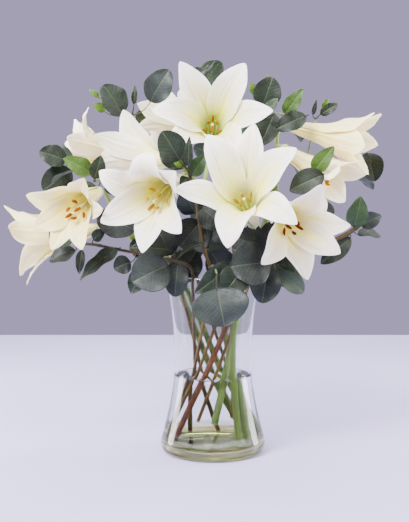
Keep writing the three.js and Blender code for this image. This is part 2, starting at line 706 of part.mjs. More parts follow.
function placeLeaf(leaf, owner, curves) {
  for (const nudge of NUDGES) {
    const shift = vec(nudge);
    const moved = { ...leaf, base: leaf.base.clone().add(shift), tip: leaf.tip.clone().add(shift) };
    const surface = leafSurface({ ...moved, root: nearestOn(curves, moved.base) });
    const points = gridPoints(surface, 5, 4, 0.12);
    const stalk = [-1, -0.8, -0.6, -0.4, -0.2, 0].map((u) => surface(u, 0));
    if (isClear(points, owner, 1) && isClear(stalk, owner, 0.8)) {
      take(points, "leaf", owner);
      take(stalk, "stem", owner);
      return { ...moved, surface };
    }
  }
  return null;
}

// ---- Branches -----------------------------------------------------------------------------------

const woodOf = ({ radius }) => ({ ...WOODY_STEM, radius: radius ?? WOODY_STEM.radius });
const roundHole = (section) => ({ ...section, radius: section.radius + GAP });

function branchCurves(branch) {
  const main = spline(stemPoints(branch, woodOf(branch).radius));
  const twigs = branch.twigs.map(([first, ...others]) => {
    return spline([nearestOn([main], vec(first)), ...others.map(vec)]);
  });
  return [main, ...twigs];
}

// The point of a branch's straight-sided tubes that lies nearest to a given point, above the rim.
function nearestOn(curves, point) {
  let best = null;
  curves.forEach((curve, k) => {
    const corners = curve.getSpacedPoints(stepsAlong(curve, k === 0 ? STEM_STEP : TWIG_STEP));
    for (let i = 1; i < corners.length; i += 1) {
      for (let share = 0; share <= 1; share += 0.125) {
        const p = between(corners[i - 1], corners[i], share);
        const distance = p.distanceTo(point);
        if (p.z > VASE.height + 5 && (!best || distance < best.distance)) best = { p, distance };
      }
    }
  });
  return best.p;
}

function leafSolid({ surface, base, tip }) {
  const rows = base.distanceTo(tip) < LEAF_ROWS.smallest ? LEAF_ROWS.small : LEAF_ROWS.large;
  return solidOf(blade(surface, LEAF.thickness, rows, 2));
}

function handLeaves(branch) {
  return branch.leaves.map(([base, tip, width, roll, shape]) => {
    const along = vec(tip).sub(vec(base)).normalize();
    return { base: vec(base), tip: vec(tip), width, shape, facing: rollFacing(along, roll) };
  });
}

// Pairs of leaves along a curve, each pair turned a quarter from the last.
function fillLeaves(curve, random) {
  const leaves = [];
  const length = curve.getLength();
  for (let s = FILL.spacing / 2; s < length + 1; s += FILL.spacing) {
    const t = Math.min(1, s / length);
    const p = curve.getPoint(t);
    if (p.z < FILL.from) continue;
    const ahead = Math.min(1, t + 0.01);
    const heading = curve.getPoint(ahead).sub(curve.getPoint(ahead - 0.02)).normalize();
    const away = vec([p.x, p.y, 0]).normalize().add(vec([0, 0, 0.4]));
    const side = heading.clone().cross(away).normalize();
    for (const sign of [1, -1]) {
      const size = mix(...FILL.length, random());
      const turn = radians(90 * leaves.length + 40 * (random() - 0.5));
      const spin = side.clone().applyAxisAngle(heading, turn).multiplyScalar(sign);
      const angle = radians(FILL.angle);
      const along = heading
        .clone()
        .multiplyScalar(Math.cos(angle))
        .addScaledVector(spin, Math.sin(angle));
      const base = p.clone().addScaledVector(spin, 4).addScaledVector(heading, 3);
      const tip = base.clone().addScaledVector(along, size);
      leaves.push({ base, tip, width: size * FILL.share, shape: 0.9, facing: away.clone() });
    }
  }
  return leaves;
}

// ---- The whole ----------------------------------------------------------------------------------

const part = new THREE.Group();
const wet = [];
const blooms = Object.entries(BLOOMS);

for (const [name, bloom] of blooms) {
  part.add(meshOf(`bloom_${name}`, bloomSolid(bloom), COLOURS.petal));
  part.add(meshOf(`stamens_${name}`, stamensSolid(bloom), COLOURS.stamen));
  bloom.tepals.forEach((_, order) => take(gridPoints(tepalSurface(bloom, order), 13, 5, 0), "petal"));
}

for (const [name, stem] of Object.entries(LILY_STEMS)) {
  const points = stemPoints(stem, LILY_STEM.radius);
  const curve = spline(points);
  const pedicels = stem.blooms.map((bloom) => pedicelCurve(points, BLOOMS[bloom]));
  const arms = pedicels.map((path) => tube(path, PEDICEL, TWIG_STEP));
  const solid = fuse([tube(curve, LILY_STEM, STEM_STEP), ...arms]);
  part.add(meshOf(`lily_stem_${name}`, solid, COLOURS.lilyStem));
  [curve, ...pedicels].forEach((path) => take(path.getSpacedPoints(60), "stem", name));
  wet.push(tube(curve, roundHole(LILY_STEM), STEM_STEP));
}

const branches = Object.entries(BRANCHES).map(([name, branch]) => {
  return { name, branch, curves: branchCurves(branch) };
});
for (const one of branches) {
  one.curves.forEach((path) => take(path.getSpacedPoints(60), "stem", one));
}
function placed(leaves, one) {
  return leaves.map((leaf) => placeLeaf(leaf, one, one.curves)).filter(Boolean);
}
for (const one of branches) {
  one.leaves = placed(handLeaves(one.branch), one);
}
const random = randomSource(FILL.seed);
for (const one of branches) {
  const extra = one.curves.flatMap((curve) => fillLeaves(curve, random));
  one.leaves.push(...placed(extra, one));
}
for (const { name, branch, curves, leaves } of branches) {
  const [main, ...twigs] = curves;
  const wood = woodOf(branch);
  const twigSolids = twigs.map((path) => tube(path, TWIG, TWIG_STEP));
  const solid = fuse([tube(main, wood, STEM_STEP), ...twigSolids, ...leaves.map(leafSolid)]);
  part.add(meshOf(`eucalyptus_${name}`, solid, COLOURS.eucalyptus));
  wet.push(tube(main, roundHole(wood), STEM_STEP));
}

part.add(meshOf("vase", vaseSolid(), COLOURS.glass));
part.add(meshOf("water", waterSolid(wet), COLOURS.water));

export default part;
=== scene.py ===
"""Looks of the lilies and eucalyptus in their glass vase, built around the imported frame.

Shapes are worked out in millimetres in the frame's axes and become metres when a mesh is made.
Every blade, tube and lathe here follows the same formulas as the solid that it stands for.
"""

from math import atan, pi

import bpy
import numpy as np
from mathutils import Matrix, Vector
from numpy import cos, cross, linspace, radians, sin
from numpy.linalg import norm


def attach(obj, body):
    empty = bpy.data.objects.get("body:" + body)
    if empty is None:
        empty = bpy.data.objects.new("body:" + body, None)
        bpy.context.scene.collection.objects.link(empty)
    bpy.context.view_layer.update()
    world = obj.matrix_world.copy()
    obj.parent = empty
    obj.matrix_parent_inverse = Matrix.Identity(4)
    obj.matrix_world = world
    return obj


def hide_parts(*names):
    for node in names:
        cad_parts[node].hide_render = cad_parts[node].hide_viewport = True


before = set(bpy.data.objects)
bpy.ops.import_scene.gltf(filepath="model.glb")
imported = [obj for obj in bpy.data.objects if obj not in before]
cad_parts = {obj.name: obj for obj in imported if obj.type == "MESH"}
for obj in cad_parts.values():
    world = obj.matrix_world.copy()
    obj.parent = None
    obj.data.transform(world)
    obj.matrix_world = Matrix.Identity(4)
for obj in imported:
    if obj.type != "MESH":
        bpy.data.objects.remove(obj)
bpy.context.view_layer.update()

# ---- Driving dimensions, as in the solids, in mm ----

VASE = dict(height=226, foot=60, base=66, waist=48, rim=62, wall=3, floor=11, dome=1.2, corner=12)
WAIST_HEIGHT = 120
HEEL_HEIGHT = 14
WATER_LEVEL = 98
GAP = 0.3
MM_PER_M = 1000

TEPAL = dict(length=138, outer_half=19.5, inner_half=22.5)
TUBE = dict(radius=5.2, lean=9, whorl_offset=1.2)
RECEPTACLE_FROM = -4
FILAMENT_SPLAY = 7
FILAMENT_RADII = (0.85, 0.5)
ANTHER = dict(length=14, radius=2, bow=1.1)
STYLE = dict(stigma=2.8, beyond=9, radii=(1.15, 0.95), swell=1.75)
LILY_STEM_RADIUS = 4
PEDICEL_RADIUS = 3
WOODY_RADIUS = 2.1
TWIG_RADIUS = 1.4
STEM_STEP = 32
TWIG_STEP = 18
SHEAF = dict(waist=23, slope=0.42, heights=(62, 112, 162, 212), rim=237, rim_spread=1.1)
LEAF = dict(arch=0.1, cup=0.16)
LEAF_CLEAR = dict(petal=7, leaf=6, stem=4.5)
VASE_CLEAR = dict(above=3, beside=5)
FILL = dict(start=262, spacing=84, length=(32, 44), share=0.84, angle=52, seed=11)

# Blooms: base, face, turn, funnel, size (or 1), stamens (reach, sag), how creamy the petals are,
# the anthers' colour (or orange), and tepals (angle, spread, curl).
BLOOMS = dict(
    crown=dict(
        base=(-1, 44, 386), face=(0, 24), turn=34, funnel=34, stamens=(54, 2), cream=0,
        tepals=((34, 42, 35), (94, 40, 35), (155, 34, 50), (226, 42, 40), (268, 44, 40), (326, 38, 30)),
    ),
    front=dict(
        base=(49, -35, 291), face=(-14, 32), turn=-58, funnel=44, stamens=(54, 2), cream=0.1,
        anther="yellow",
        tepals=((-36, 45, 35), (6, 54, 35), (54, 50, 35), (122, 60, 60), (184, 52, 60), (256, 42, 18)),
    ),
    heart=dict(
        base=(-42, -5, 343), face=(-20, -10), turn=10, funnel=27, stamens=(72, 8), cream=0.15,
        anther="yellow",
        tepals=((0, -12, 190), (52, 8, 60), (128, 25, 35), (184, 26, 35), (244, 30, 35), (296, 22, 100)),
    ),
    west=dict(
        base=(-143, 6, 327), face=(-20, -12), turn=28, funnel=26, size=0.81, stamens=(62, 6), cream=0.9,
        anther="rust",
        tepals=((36, 24, 50), (84, 26, 35), (158, 26, 35), (206, 30, 35), (244, 30, 35), (288, 28, 70)),
    ),
    westLow=dict(
        base=(-144, 22, 280), face=(-95, -9), turn=10, funnel=32, size=0.9, stamens=(58, 3), cream=0.8,
        tepals=((10, 15, 30), (70, 32, 50), (130, 36, 45), (190, 30, 30), (250, 34, 40), (310, 18, 30)),
    ),
    northWest=dict(
        base=(-107, 106, 364), face=(-80, 16), turn=10, funnel=30, size=0.76, stamens=(54, 3),
        cream=0.45,
        tepals=((26, 48, 50), (84, 24, 30), (140, 4, 10), (200, 4, 10), (268, 36, 30), (306, 34, 45)),
    ),
    westHigh=dict(
        base=(-56, -6, 364), face=(-149, 7), turn=0, funnel=32, size=0.84, stamens=(56, 3), cream=0.2,
        tepals=((16, 38, 30), (68, 36, 50), (104, 38, 60), (176, 17, 30), (240, -5, 12), (300, 15, 30)),
    ),
    east=dict(
        base=(74, 2, 314), face=(18, -17), turn=15, funnel=33, size=0.9, stamens=(62, 5), cream=0.25,
        anther="brown",
        tepals=((15, 36, 35), (82, 24, 45), (118, 26, 45), (166, 36, 40), (230, 34, 40), (310, 21, 40)),
    ),
    northEast=dict(
        base=(101, 52, 408), face=(70, -13), turn=30, funnel=26, size=0.84, stamens=(66, 4), cream=0.8,
        anther="rust",
        tepals=((30, 24, 25), (90, 24, 30), (150, 16, 30), (210, 4, 30), (270, 14, 30), (330, 22, 25)),
    ),
    eastHigh=dict(
        base=(90, 34, 380), face=(60, -30), turn=0, funnel=32, size=0.78, stamens=(58, 3), cream=0.55,
        tepals=((0, 10, 40), (64, 10, 40), (120, 30, 40), (180, 24, 40), (240, 20, 40), (300, 18, 40)),
    ),
    back=dict(
        base=(-4, 82, 398), face=(-124, 20), turn=0, funnel=32, size=0.76, stamens=(58, 3), cream=0.3,
        tepals=((32, 30, 50), (78, 32, 40), (126, 26, 40), (180, 32, 40), (240, 32, 40), (310, 32, 40)),
    ),
)

LILY_STEMS = dict(
    west=dict(sheaf=117, path=((-80, 15, 252), (-106, 21, 272)), blooms=("west", "westLow")),
    northWest=dict(sheaf=87, path=((-54, 52, 266), (-60, 60, 306)), blooms=("northWest", "back")),
    centre=dict(sheaf=27, path=((-8, 54, 262), (-12, 50, 308)), blooms=("crown", "heart", "westHigh")),
    front=dict(
        path=(
            (32, -46, 13), (27, -37, 60), (24, -31, 118), (26, -35, 168), (35, -33, 222), (41, -24, 264)
        ),
        blooms=("front", "east"),
    ),
    northEast=dict(
        sheaf=-33, foot=42, path=((62, 48, 270), (82, 58, 335)), blooms=("northEast", "eastHigh")
    ),
)

# Branches: their angle in the sheaf and the path above it, where a foot is raised, the radius of a
# thicker one, and the paths of twigs.
BRANCHES = dict(
    west=dict(
        sheaf=147, path=((-80, -20, 250), (-115, -12, 256), (-150, -2, 262), (-172, 2, 262)),
        twigs=(((-80, -20, 250), (-90, -18, 264), (-96, -18, 277)),),
    ),
    northWest=dict(
        sheaf=57, path=((-52, 80, 290), (-95, 66, 326), (-135, 38, 346), (-176, 22, 358)),
        twigs=(
            ((-62, 88, 304), (-78, 130, 362), (-106, 100, 424)),
            ((-130, 42, 344), (-140, 24, 342), (-147, 8, 340)),
        ),
    ),
    north=dict(
        sheaf=-3, foot=48, path=((24, 86, 280), (14, 110, 350), (0, 108, 410), (-17, 76, 466)),
        twigs=(((18, 102, 330), (40, 84, 390), (60, 54, 424), (88, 50, 424), (108, 50, 418)),),
    ),
    east=dict(
        sheaf=-63, foot=44,
        path=((86, 24, 268), (118, 60, 306), (156, 78, 335), (190, 78, 350), (205, 64, 364)),
        twigs=(
            ((118, 60, 306), (124, 88, 365), (134, 80, 418)),
            ((104, 42, 285), (113, 4, 322), (124, -28, 346)),
        ),
    ),
    southEast=dict(
        sheaf=-93, radius=3.5, path=((92, -8, 250), (135, 3, 260), (168, 2, 275), (186, 0, 290)),
    ),
    frontRight=dict(sheaf=-123, path=((50, -58, 246), (70, -60, 249))),
    front=dict(
        sheaf=-153, path=((-12, -50, 262), (-18, -38, 298), (-23, -34, 330), (-30, -60, 356)),
        twigs=(((-5, -52, 240), (0, -64, 242), (4, -75, 234)),),
    ),
    frontLeft=dict(sheaf=177, path=((-50, -54, 248), (-68, -48, 248), (-82, -44, 242))),
)

# Leaves of each branch: base, tip, width, tone, shape (or 0.9), roll (or 0).
LEAVES = dict(
    west=(
        ((-172, 2, 254), (-204, 0, 240), 28, "slate", 0.8, 30),
        ((-163, -3, 256), (-166, -8, 226), 12, "dark", 0.8),
        ((-116, -14, 259), (-164, -20, 220), 20, "grey", 0.7, 20),
        ((-149, -5, 268), (-134, -10, 281), 16, "dark", 0.8),
        ((-101, -28, 243), (-121, -34, 236), 24, "slate"),
        ((-96, -20, 281), (-143, -14, 298), 44, "blue", 0.9, 10),
        ((-47, 1, 252), (-23, -12, 218), 39, "slate", 1, 25),
    ),
    northWest=(
        ((-184, 16, 366), (-216, 8, 377), 28, "dark"),
        ((-151, 3, 351), (-185, -4, 369), 24, "light", 0.7),
        ((-147, -6, 344), (-138, -10, 373), 20, "dark", 0.8, 20),
        ((-180, 30, 354), (-215, 28, 328), 36, "grey", 0.9, -20),
        ((-147, 12, 332), (-169, 6, 330), 16, "pale", 0.8, 20),
        ((-140, 16, 334), (-116, 6, 318), 26, "dark", 0.8),
        ((-118, 78, 424), (-142, 72, 461), 38, "grey", 0.9, 20),
        ((-141, 74, 428), (-154, 72, 438), 12, "bud"),
        ((-147, 72, 446), (-159, 70, 456), 7, "bud", 0.8),
        ((-103, 88, 438), (-101, 86, 462), 8, "grey", 0.7),
        ((-46, 52, 270), (-16, 44, 242), 48, "slate", 1),
        ((-58, 76, 296), (-70, 40, 272), 46, "slate", 1, -20),
        ((-80, 84, 440), (-56, 78, 480), 37, "blue"),
    ),
    north=(
        ((-30, 62, 468), (-8, 52, 480), 20, "grey", 0.8),
        ((-14, 62, 472), (3, 58, 492), 8, "blue", 0.7),
        ((62, 48, 432), (75, 40, 470), 36, "grey", 1, 10),
        ((66, 30, 424), (81, 18, 443), 15, "pale", 0.8),
        ((91, 34, 424), (113, 25, 455), 20, "light", 0.7),
        ((78, 46, 424), (60, 34, 384), 30, "dark"),
        ((116, 24, 421), (79, 20, 405), 25, "dark"),
        ((56, 40, 448), (48, 36, 462), 12, "bud"),
        ((68, 42, 462), (70, 38, 474), 7, "bud", 0.8),
        ((18, 60, 304), (-28, 50, 288), 50, "slate", 1),
        ((22, 44, 270), (-22, 34, 256), 52, "slate", 1),
    ),
    east=(
        ((200, 60, 374), (209, 48, 338), 33, "dark"),
        ((140, 74, 424), (161, 66, 437), 14, "dark"),
        ((144, 72, 430), (150, 68, 444), 9, "bud"),
        ((130, 74, 424), (133, 60, 443), 6, "blue", 0.7),
        ((66, 10, 262), (34, 4, 262), 50, "slate", 1),
        ((100, 38, 280), (116, 24, 246), 42, "slate", 1),
        ((134, -30, 350), (93, -18, 330), 32, "dark", 0.8),
        ((123, -36, 354), (146, -46, 384), 22, "light", 0.7),
    ),
    southEast=(
        ((175, -8, 284), (181, -22, 323), 27, "mid", 0.8),
        ((184, 2, 286), (210, 0, 298), 22, "blue", 0.8),
        ((172, 4, 270), (136, 10, 236), 26, "dark", 0.8),
    ),
    frontRight=(
        ((68, -68, 246), (20, -84, 243), 54, "slate", 1),
        ((66, -55, 260), (18, -50, 277), 34, "slate"),
        ((74, -62, 252), (106, -60, 250), 28, "grey"),
        ((74, -64, 244), (104, -74, 216), 38, "pale"),
        ((66, -62, 240), (58, -72, 198), 38, "slate"),
        ((80, -52, 232), (110, -50, 208), 24, "pale"),
        ((36, -52, 240), (14, -58, 212), 36, "dark"),
        ((60, -40, 250), (90, -30, 290), 40, "slate", 1),
    ),
    front=(
        ((4, -78, 217), (13, -92, 174), 68, "blue"),
        ((16, -66, 238), (-28, -80, 204), 28, "grey", 0.8, -20),
        ((-12, -52, 268), (-44, -62, 250), 14, "grey", 0.8, 50),
        ((-16, -40, 292), (-40, -52, 262), 40, "slate"),
        ((-14, -36, 310), (12, -40, 286), 36, "slate"),
        ((-40, -78, 368), (-60, -86, 402), 34, "grey"),
        ((-30, -76, 362), (-28, -88, 396), 11, "grey", 0.7),
        ((-26, -62, 350), (-9, -70, 374), 20, "mid", 0.8),
        ((-30, -58, 346), (-40, -70, 338), 14, "dark", 0.8),
        ((-38, -72, 360), (-47, -76, 368), 10, "bud"),
        ((-8, -30, 280), (-34, 0, 258), 44, "slate", 1),
        ((-2, -20, 300), (24, 0, 270), 46, "slate", 1),
        ((-10, -20, 262), (10, 0, 232), 40, "slate", 1),
    ),
    frontLeft=(
        ((-54, -60, 242), (-96, -78, 224), 50, "blue", 1),
        ((-50, -52, 258), (-102, -58, 262), 20, "grey", 0.8, 10),
        ((-84, -44, 236), (-100, -46, 206), 24, "dark", 0.8),
        ((-43, -54, 250), (-46, -60, 210), 30, "slate"),
        ((-50, -40, 252), (-74, -30, 290), 42, "slate", 1),
        ((-60, -30, 250), (-104, -20, 262), 34, "dark"),
        ((-42, -33, 223), (-20, -33, 257), 39, "dark", 1),
    ),
)

# ---- Colours ----


def colour(red, green, blue):
    """A display colour from 0 to 255 as a linear one."""
    share = np.array([red, green, blue]) / 255
    return np.where(share <= 0.04045, share / 12.92, ((share + 0.055) / 1.055) ** 2.4)


LEAF_TONES = dict(
    slate=(11, 18, 17), blue=(25, 32, 32), dark=(9, 21, 3), grey=(19, 31, 17), mid=(25, 52, 6),
    light=(54, 82, 15), pale=(62, 76, 60), bud=(72, 102, 5),
)
FILL_TONES = ("slate", "grey", "dark", "blue")
ANTHER_TONES = dict(orange=(158, 102, 0), yellow=(178, 142, 0), rust=(144, 72, 0), brown=(104, 44, 0))
PETAL_WHITE = colour(255, 249, 239)
PETAL_CREAM = colour(255, 232, 146)
FILAMENT = colour(226, 230, 178)
STIGMA = colour(214, 220, 150)
LILY_GREEN = colour(94, 114, 34)
LILY_PALE = colour(150, 172, 84)
BARK = colour(94, 44, 0)
AMBER = colour(104, 76, 14)
TWIG_BROWN = colour(60, 52, 20)
YOUNG_GREEN = colour(126, 142, 86)
CUT_WOOD = colour(206, 186, 142)

# ---- Helpers ----


def vec(point):
    return np.array(point, dtype=float)


def mix(a, b, t):
    return (1 - t) * a + t * b


def smooth(x):
    x = np.clip(x, 0, 1)
    return x * x * (3 - 2 * x)


def unit(vector):
    return vector / norm(vector, axis=-1, keepdims=True)


def turned(vector, axis, angle):
    """A vector turned about a unit axis by an angle in radians."""
    along = axis * np.dot(vector, axis)
    return along + (vector - along) * cos(angle) + cross(axis, vector) * sin(angle)


def circle(sides):
    return 2 * pi * np.arange(sides) / sides


def grid(rows, columns):
    return np.meshgrid(rows, columns, indexing="ij")


def both_sides(half):
    """Columns from -1 to 1, mirrored from those of one half."""
    half = np.array(half)
    return np.concatenate([-half[:0:-1], half])


def random_source(seed):
    """Repeatable random numbers from 0 to 1."""
    state = seed
    while True:
        state = (state * 16807) % 2147483647
        yield state / 2147483647


class Curve:
    """A curve from a function of t, with points evenly spaced along its length."""

    TABLE = linspace(0, 1, 201)

    def __init__(self, point):
        self.point = point
        steps = norm(np.diff(point(self.TABLE), axis=0), axis=1)
        self.lengths = np.concatenate([[0], np.cumsum(steps)])
        self.length = self.lengths[-1]

    def spaced(self, count):
        target = linspace(0, 1, count + 1) * self.length
        return self.point(np.interp(target, self.lengths, self.TABLE))

    def corners(self, step):
        return self.spaced(max(2, int(np.floor(self.length / step + 0.5))))


def spline(points):
    """A smooth curve through the points."""
    p = vec(points)
    padded = np.vstack([2 * p[0] - p[1], p, 2 * p[-1] - p[-2]])
    last = len(p) - 1

    def point(t):
        t = np.atleast_1d(t)
        k = np.minimum((t * last).astype(int), last - 1)
        w = (t * last - k)[:, None]
        a, b, c, d = (padded[k + i] for i in range(4))
        m, n = 0.5 * (c - a), 0.5 * (d - b)
        return b + m * w + (-3 * b + 3 * c - 2 * m - n) * w**2 + (2 * b - 2 * c + m + n) * w**3

    return Curve(point)


def bezier(*controls):
    """A quadratic or cubic Bezier curve."""
    weights = {3: (1, 2, 1), 4: (1, 3, 3, 1)}[len(controls)]
    degree = len(controls) - 1

    def point(t):
        t = np.atleast_1d(t)[:, None]
        terms = (
            weight * (1 - t) ** (degree - k) * t**k * control
            for k, (weight, control) in enumerate(zip(weights, controls))
        )
        return sum(terms)

    return Curve(point)


def add_object(name, data):
    thing = bpy.data.objects.new(name, data)
    bpy.context.collection.objects.link(thing)
    return thing


def aim(thing, place, target):
    thing.location = place
    thing.rotation_euler = (Vector(target) - Vector(place)).to_track_quat("-Z", "Y").to_euler()


# ---- Meshes ----

LATHE_SIDES = 128


class Piece:
    """A mesh in the making. Each vertex has a place on its own blade or tube, and a tint."""

    def __init__(self):
        self.count = 0
        self.points, self.faces, self.place, self.tint = [], [], [], []

    def add(self, points, faces, place, tint):
        points = np.asarray(points).reshape(-1, 3)
        self.points.append(points)
        self.faces += [[self.count + k for k in face] for face in faces]
        for rows, values in ((self.place, place), (self.tint, tint)):
            rows.append(np.broadcast_to(vec(values).reshape(-1, 3), points.shape))
        self.count += len(points)

    def make(self, name, material, node):
        mesh = bpy.data.meshes.new(name)
        mesh.from_pydata((np.vstack(self.points) / MM_PER_M).tolist(), [], self.faces)
        place = mesh.attributes.new("place", "FLOAT_VECTOR", "POINT")
        place.data.foreach_set("vector", np.vstack(self.place).astype(np.float32).ravel())
        tint = mesh.attributes.new("tint", "FLOAT_COLOR", "POINT")
        rgba = np.hstack([np.vstack(self.tint), np.ones((self.count, 1))])
        tint.data.foreach_set("color", rgba.astype(np.float32).ravel())
        mesh.polygons.foreach_set("use_smooth", [True] * len(mesh.polygons))
        mesh.materials.append(material)
        mesh.validate()
        mesh.update()
        piece = add_object(name, mesh)
        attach(piece, "root")
        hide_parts(node)
        return piece


def grid_faces(rows, columns, start=0, flip=False):
    faces = []
    for i in range(rows):
        for j in range(columns):
            a = start + i * (columns + 1) + j
            quad = [a, a + columns + 1, a + columns + 2, a + 1]
            faces.append(quad[::-1] if flip else quad)
    return faces


def ring_faces(count, sides):
    """Faces of rings of points, closed at both ends by the two points that follow them."""
    faces = []
    for i in range(count - 1):
        for k in range(sides):
            a, b = i * sides + k, i * sides + (k + 1) % sides
            faces.append([a, b, b + sides, a + sides])
    first, last = count * sides, count * sides + 1
    for k in range(sides):
        after = (k + 1) % sides
        faces.append([first, after, k])
        faces.append([last, first - sides + k, first - sides + after])
    return faces


def grid_normal(points):
    return unit(cross(np.gradient(points, axis=0), np.gradient(points, axis=1)))


def add_blade(piece, points, above, below, place, tint):
    """A closed blade. points is its middle grid, and above and below are its faces' offsets."""
    rows, columns = points.shape[0] - 1, points.shape[1] - 1
    normal = grid_normal(points)
    first, second = points + normal * above[..., None], points - normal * below[..., None]
    size = (rows + 1) * (columns + 1)
    faces = grid_faces(rows, columns) + grid_faces(rows, columns, size, flip=True)
    index = np.arange(size).reshape(rows + 1, columns + 1)
    rim = [*index[:, 0], *index[-1, 1:], *index[-2::-1, -1], *index[0, -2:0:-1]]
    for a, b in zip(rim, rim[1:] + rim[:1]):
        faces.append([b, a, a + size, b + size])
    places = [np.dstack([*place, np.full(points.shape[:2], side)]) for side in (0.0, 1.0)]
    piece.add(np.stack([first, second]), faces, np.stack(places), tint)


def add_tube(piece, path, radius, sides, tint, kind=0.0):
    """A closed tube along a path. radius is one for each point, or a grid of points by sides."""
    path = np.asarray(path)
    count = len(path)
    tangent = unit(np.gradient(path, axis=0))
    radius = np.broadcast_to(vec(radius).reshape(count, -1), (count, sides))
    tint = np.broadcast_to(vec(tint).reshape(-1, 3), (count, 3))
    spoke = cross(tangent[0], np.eye(3)[np.argmin(np.abs(tangent[0]))])
    angle = circle(sides)
    rings = []
    for k in range(count):
        spoke = unit(spoke - tangent[k] * np.dot(spoke, tangent[k]))
        other = cross(tangent[k], spoke)
        ring = np.outer(cos(angle), spoke) + np.outer(sin(angle), other)
        rings.append(path[k] + ring * radius[k][:, None])
    points = np.vstack([*rings, path[:1], path[-1:]])
    travelled = np.concatenate([[0], np.cumsum(norm(np.diff(path, axis=0), axis=1))])
    around = np.tile(np.arange(sides) / sides, count)
    place = np.column_stack([np.repeat(travelled, sides), around, np.full(count * sides, kind)])
    ends = [[travelled[0], 0, kind], [travelled[-1], 0, kind]]
    tints = np.vstack([np.repeat(tint, sides, axis=0), tint[:1], tint[-1:]])
    piece.add(points, ring_faces(count, sides), np.vstack([place, ends]), tints)


def add_lathe(piece, profile):
    """A solid of revolution. profile is (radius, height) from the axis round to the axis again."""
    angle = circle(LATHE_SIDES)
    rings = [
        np.column_stack([r * cos(angle), r * sin(angle), np.full(LATHE_SIDES, z)])
        for r, z in profile[1:-1]
    ]
    points = np.vstack([*rings, [[0, 0, profile[0][1]]], [[0, 0, profile[-1][1]]]])
    piece.add(points, ring_faces(len(rings), LATHE_SIDES), (0, 0, 0), (1, 1, 1))


# ---- Materials ----


class Shader:
    """A material or world made by short calls, each of which gives back an output socket."""

    def __init__(self, block, surface="Principled BSDF", coordinates="Object"):
        block.use_nodes = True
        self.block, self.tree = block, block.node_tree
        self.surface = self.tree.nodes[surface]
        self.coordinates = self.node("ShaderNodeTexCoord", coordinates)

    def put(self, socket, value):
        if isinstance(value, bpy.types.NodeSocket):
            self.tree.links.new(value, socket)
        elif socket.type == "RGBA" and len(value) == 3:
            socket.default_value = (*value, 1)
        else:
            socket.default_value = value

    def node(self, kind, output, inputs=(), **settings):
        node = self.tree.nodes.new(kind)
        for key, value in settings.items():
            setattr(node, key, value)
        for key, value in dict(inputs).items():
            self.put(node.inputs[key], value)
        return node.outputs if output is None else node.outputs[output]

    def surface_is(self, **values):
        for key, value in values.items():
            self.put(self.surface.inputs[key.replace("_", " ")], value)
        return self.block

    def math(self, operation, a, b=0.0, c=0.0):
        return self.node("ShaderNodeMath", 0, {0: a, 1: b, 2: c}, operation=operation)

    def times(self, product, *factors):
        for factor in factors:
            product = self.math("MULTIPLY", product, factor)
        return product

    def plus(self, total, *parts):
        for part in parts:
            total = self.math("ADD", total, part)
        return total

    def minus(self, a, b):
        return self.math("SUBTRACT", a, b)

    def ramp(self, value, start, end, low=0.0, high=1.0):
        """low up to start and high from end on, with a smooth step between them."""
        if start > end:
            start, end, low, high = end, start, high, low
        inputs = {"Value": value, "From Min": start, "From Max": end, "To Min": low, "To Max": high}
        return self.node("ShaderNodeMapRange", 0, inputs, interpolation_type="SMOOTHSTEP")

    def blend(self, factor, a, b, mode="MIX"):
        kinds = dict(data_type="RGBA", blend_type=mode)
        return self.node("ShaderNodeMix", 2, {0: factor, 6: a, 7: b}, **kinds)

    def layer(self, body, share, most, over):
        """The body under a layer that covers up to a most share of it."""
        return self.blend(self.times(share, most), body, over)

    def darken(self, body, value):
        grey = self.node("ShaderNodeCombineColor", 0, {0: value, 1: value, 2: value})
        return self.blend(1.0, body, grey, "MULTIPLY")

    def noise(self, scale, detail=2.0, roughness=0.5, vector=None, distortion=0.0):
        inputs = {
            "Vector": vector or self.coordinates, "Scale": scale, "Detail": detail,
            "Roughness": roughness, "Distortion": distortion,
        }
        return self.node("ShaderNodeTexNoise", 0, inputs)

    def varied(self, scale, detail, low=0.0, high=1.0):
        """A slow change between two values."""
        return self.ramp(self.noise(scale, detail), 0.3, 0.7, low, high)

    def bump(self, height, strength, distance):
        inputs = {"Height": height, "Strength": strength, "Distance": distance}
        return self.node("ShaderNodeBump", 0, inputs)

    def split(self, vector):
        return self.node("ShaderNodeSeparateXYZ", None, {0: vector})

    def join(self, x, y=0.0, z=0.0):
        return self.node("ShaderNodeCombineXYZ", 0, {0: x, 1: y, 2: z})

    def place(self):
        return self.split(self.node("ShaderNodeAttribute", "Vector", attribute_name="place"))

    def tint(self):
        return self.node("ShaderNodeAttribute", "Color", attribute_name="tint")


def flesh(weight, radius, scale):
    """How much light goes into a plant, how far for each colour, and the scale of that in metres."""
    return dict(Subsurface_Weight=weight, Subsurface_Radius=radius, Subsurface_Scale=scale)


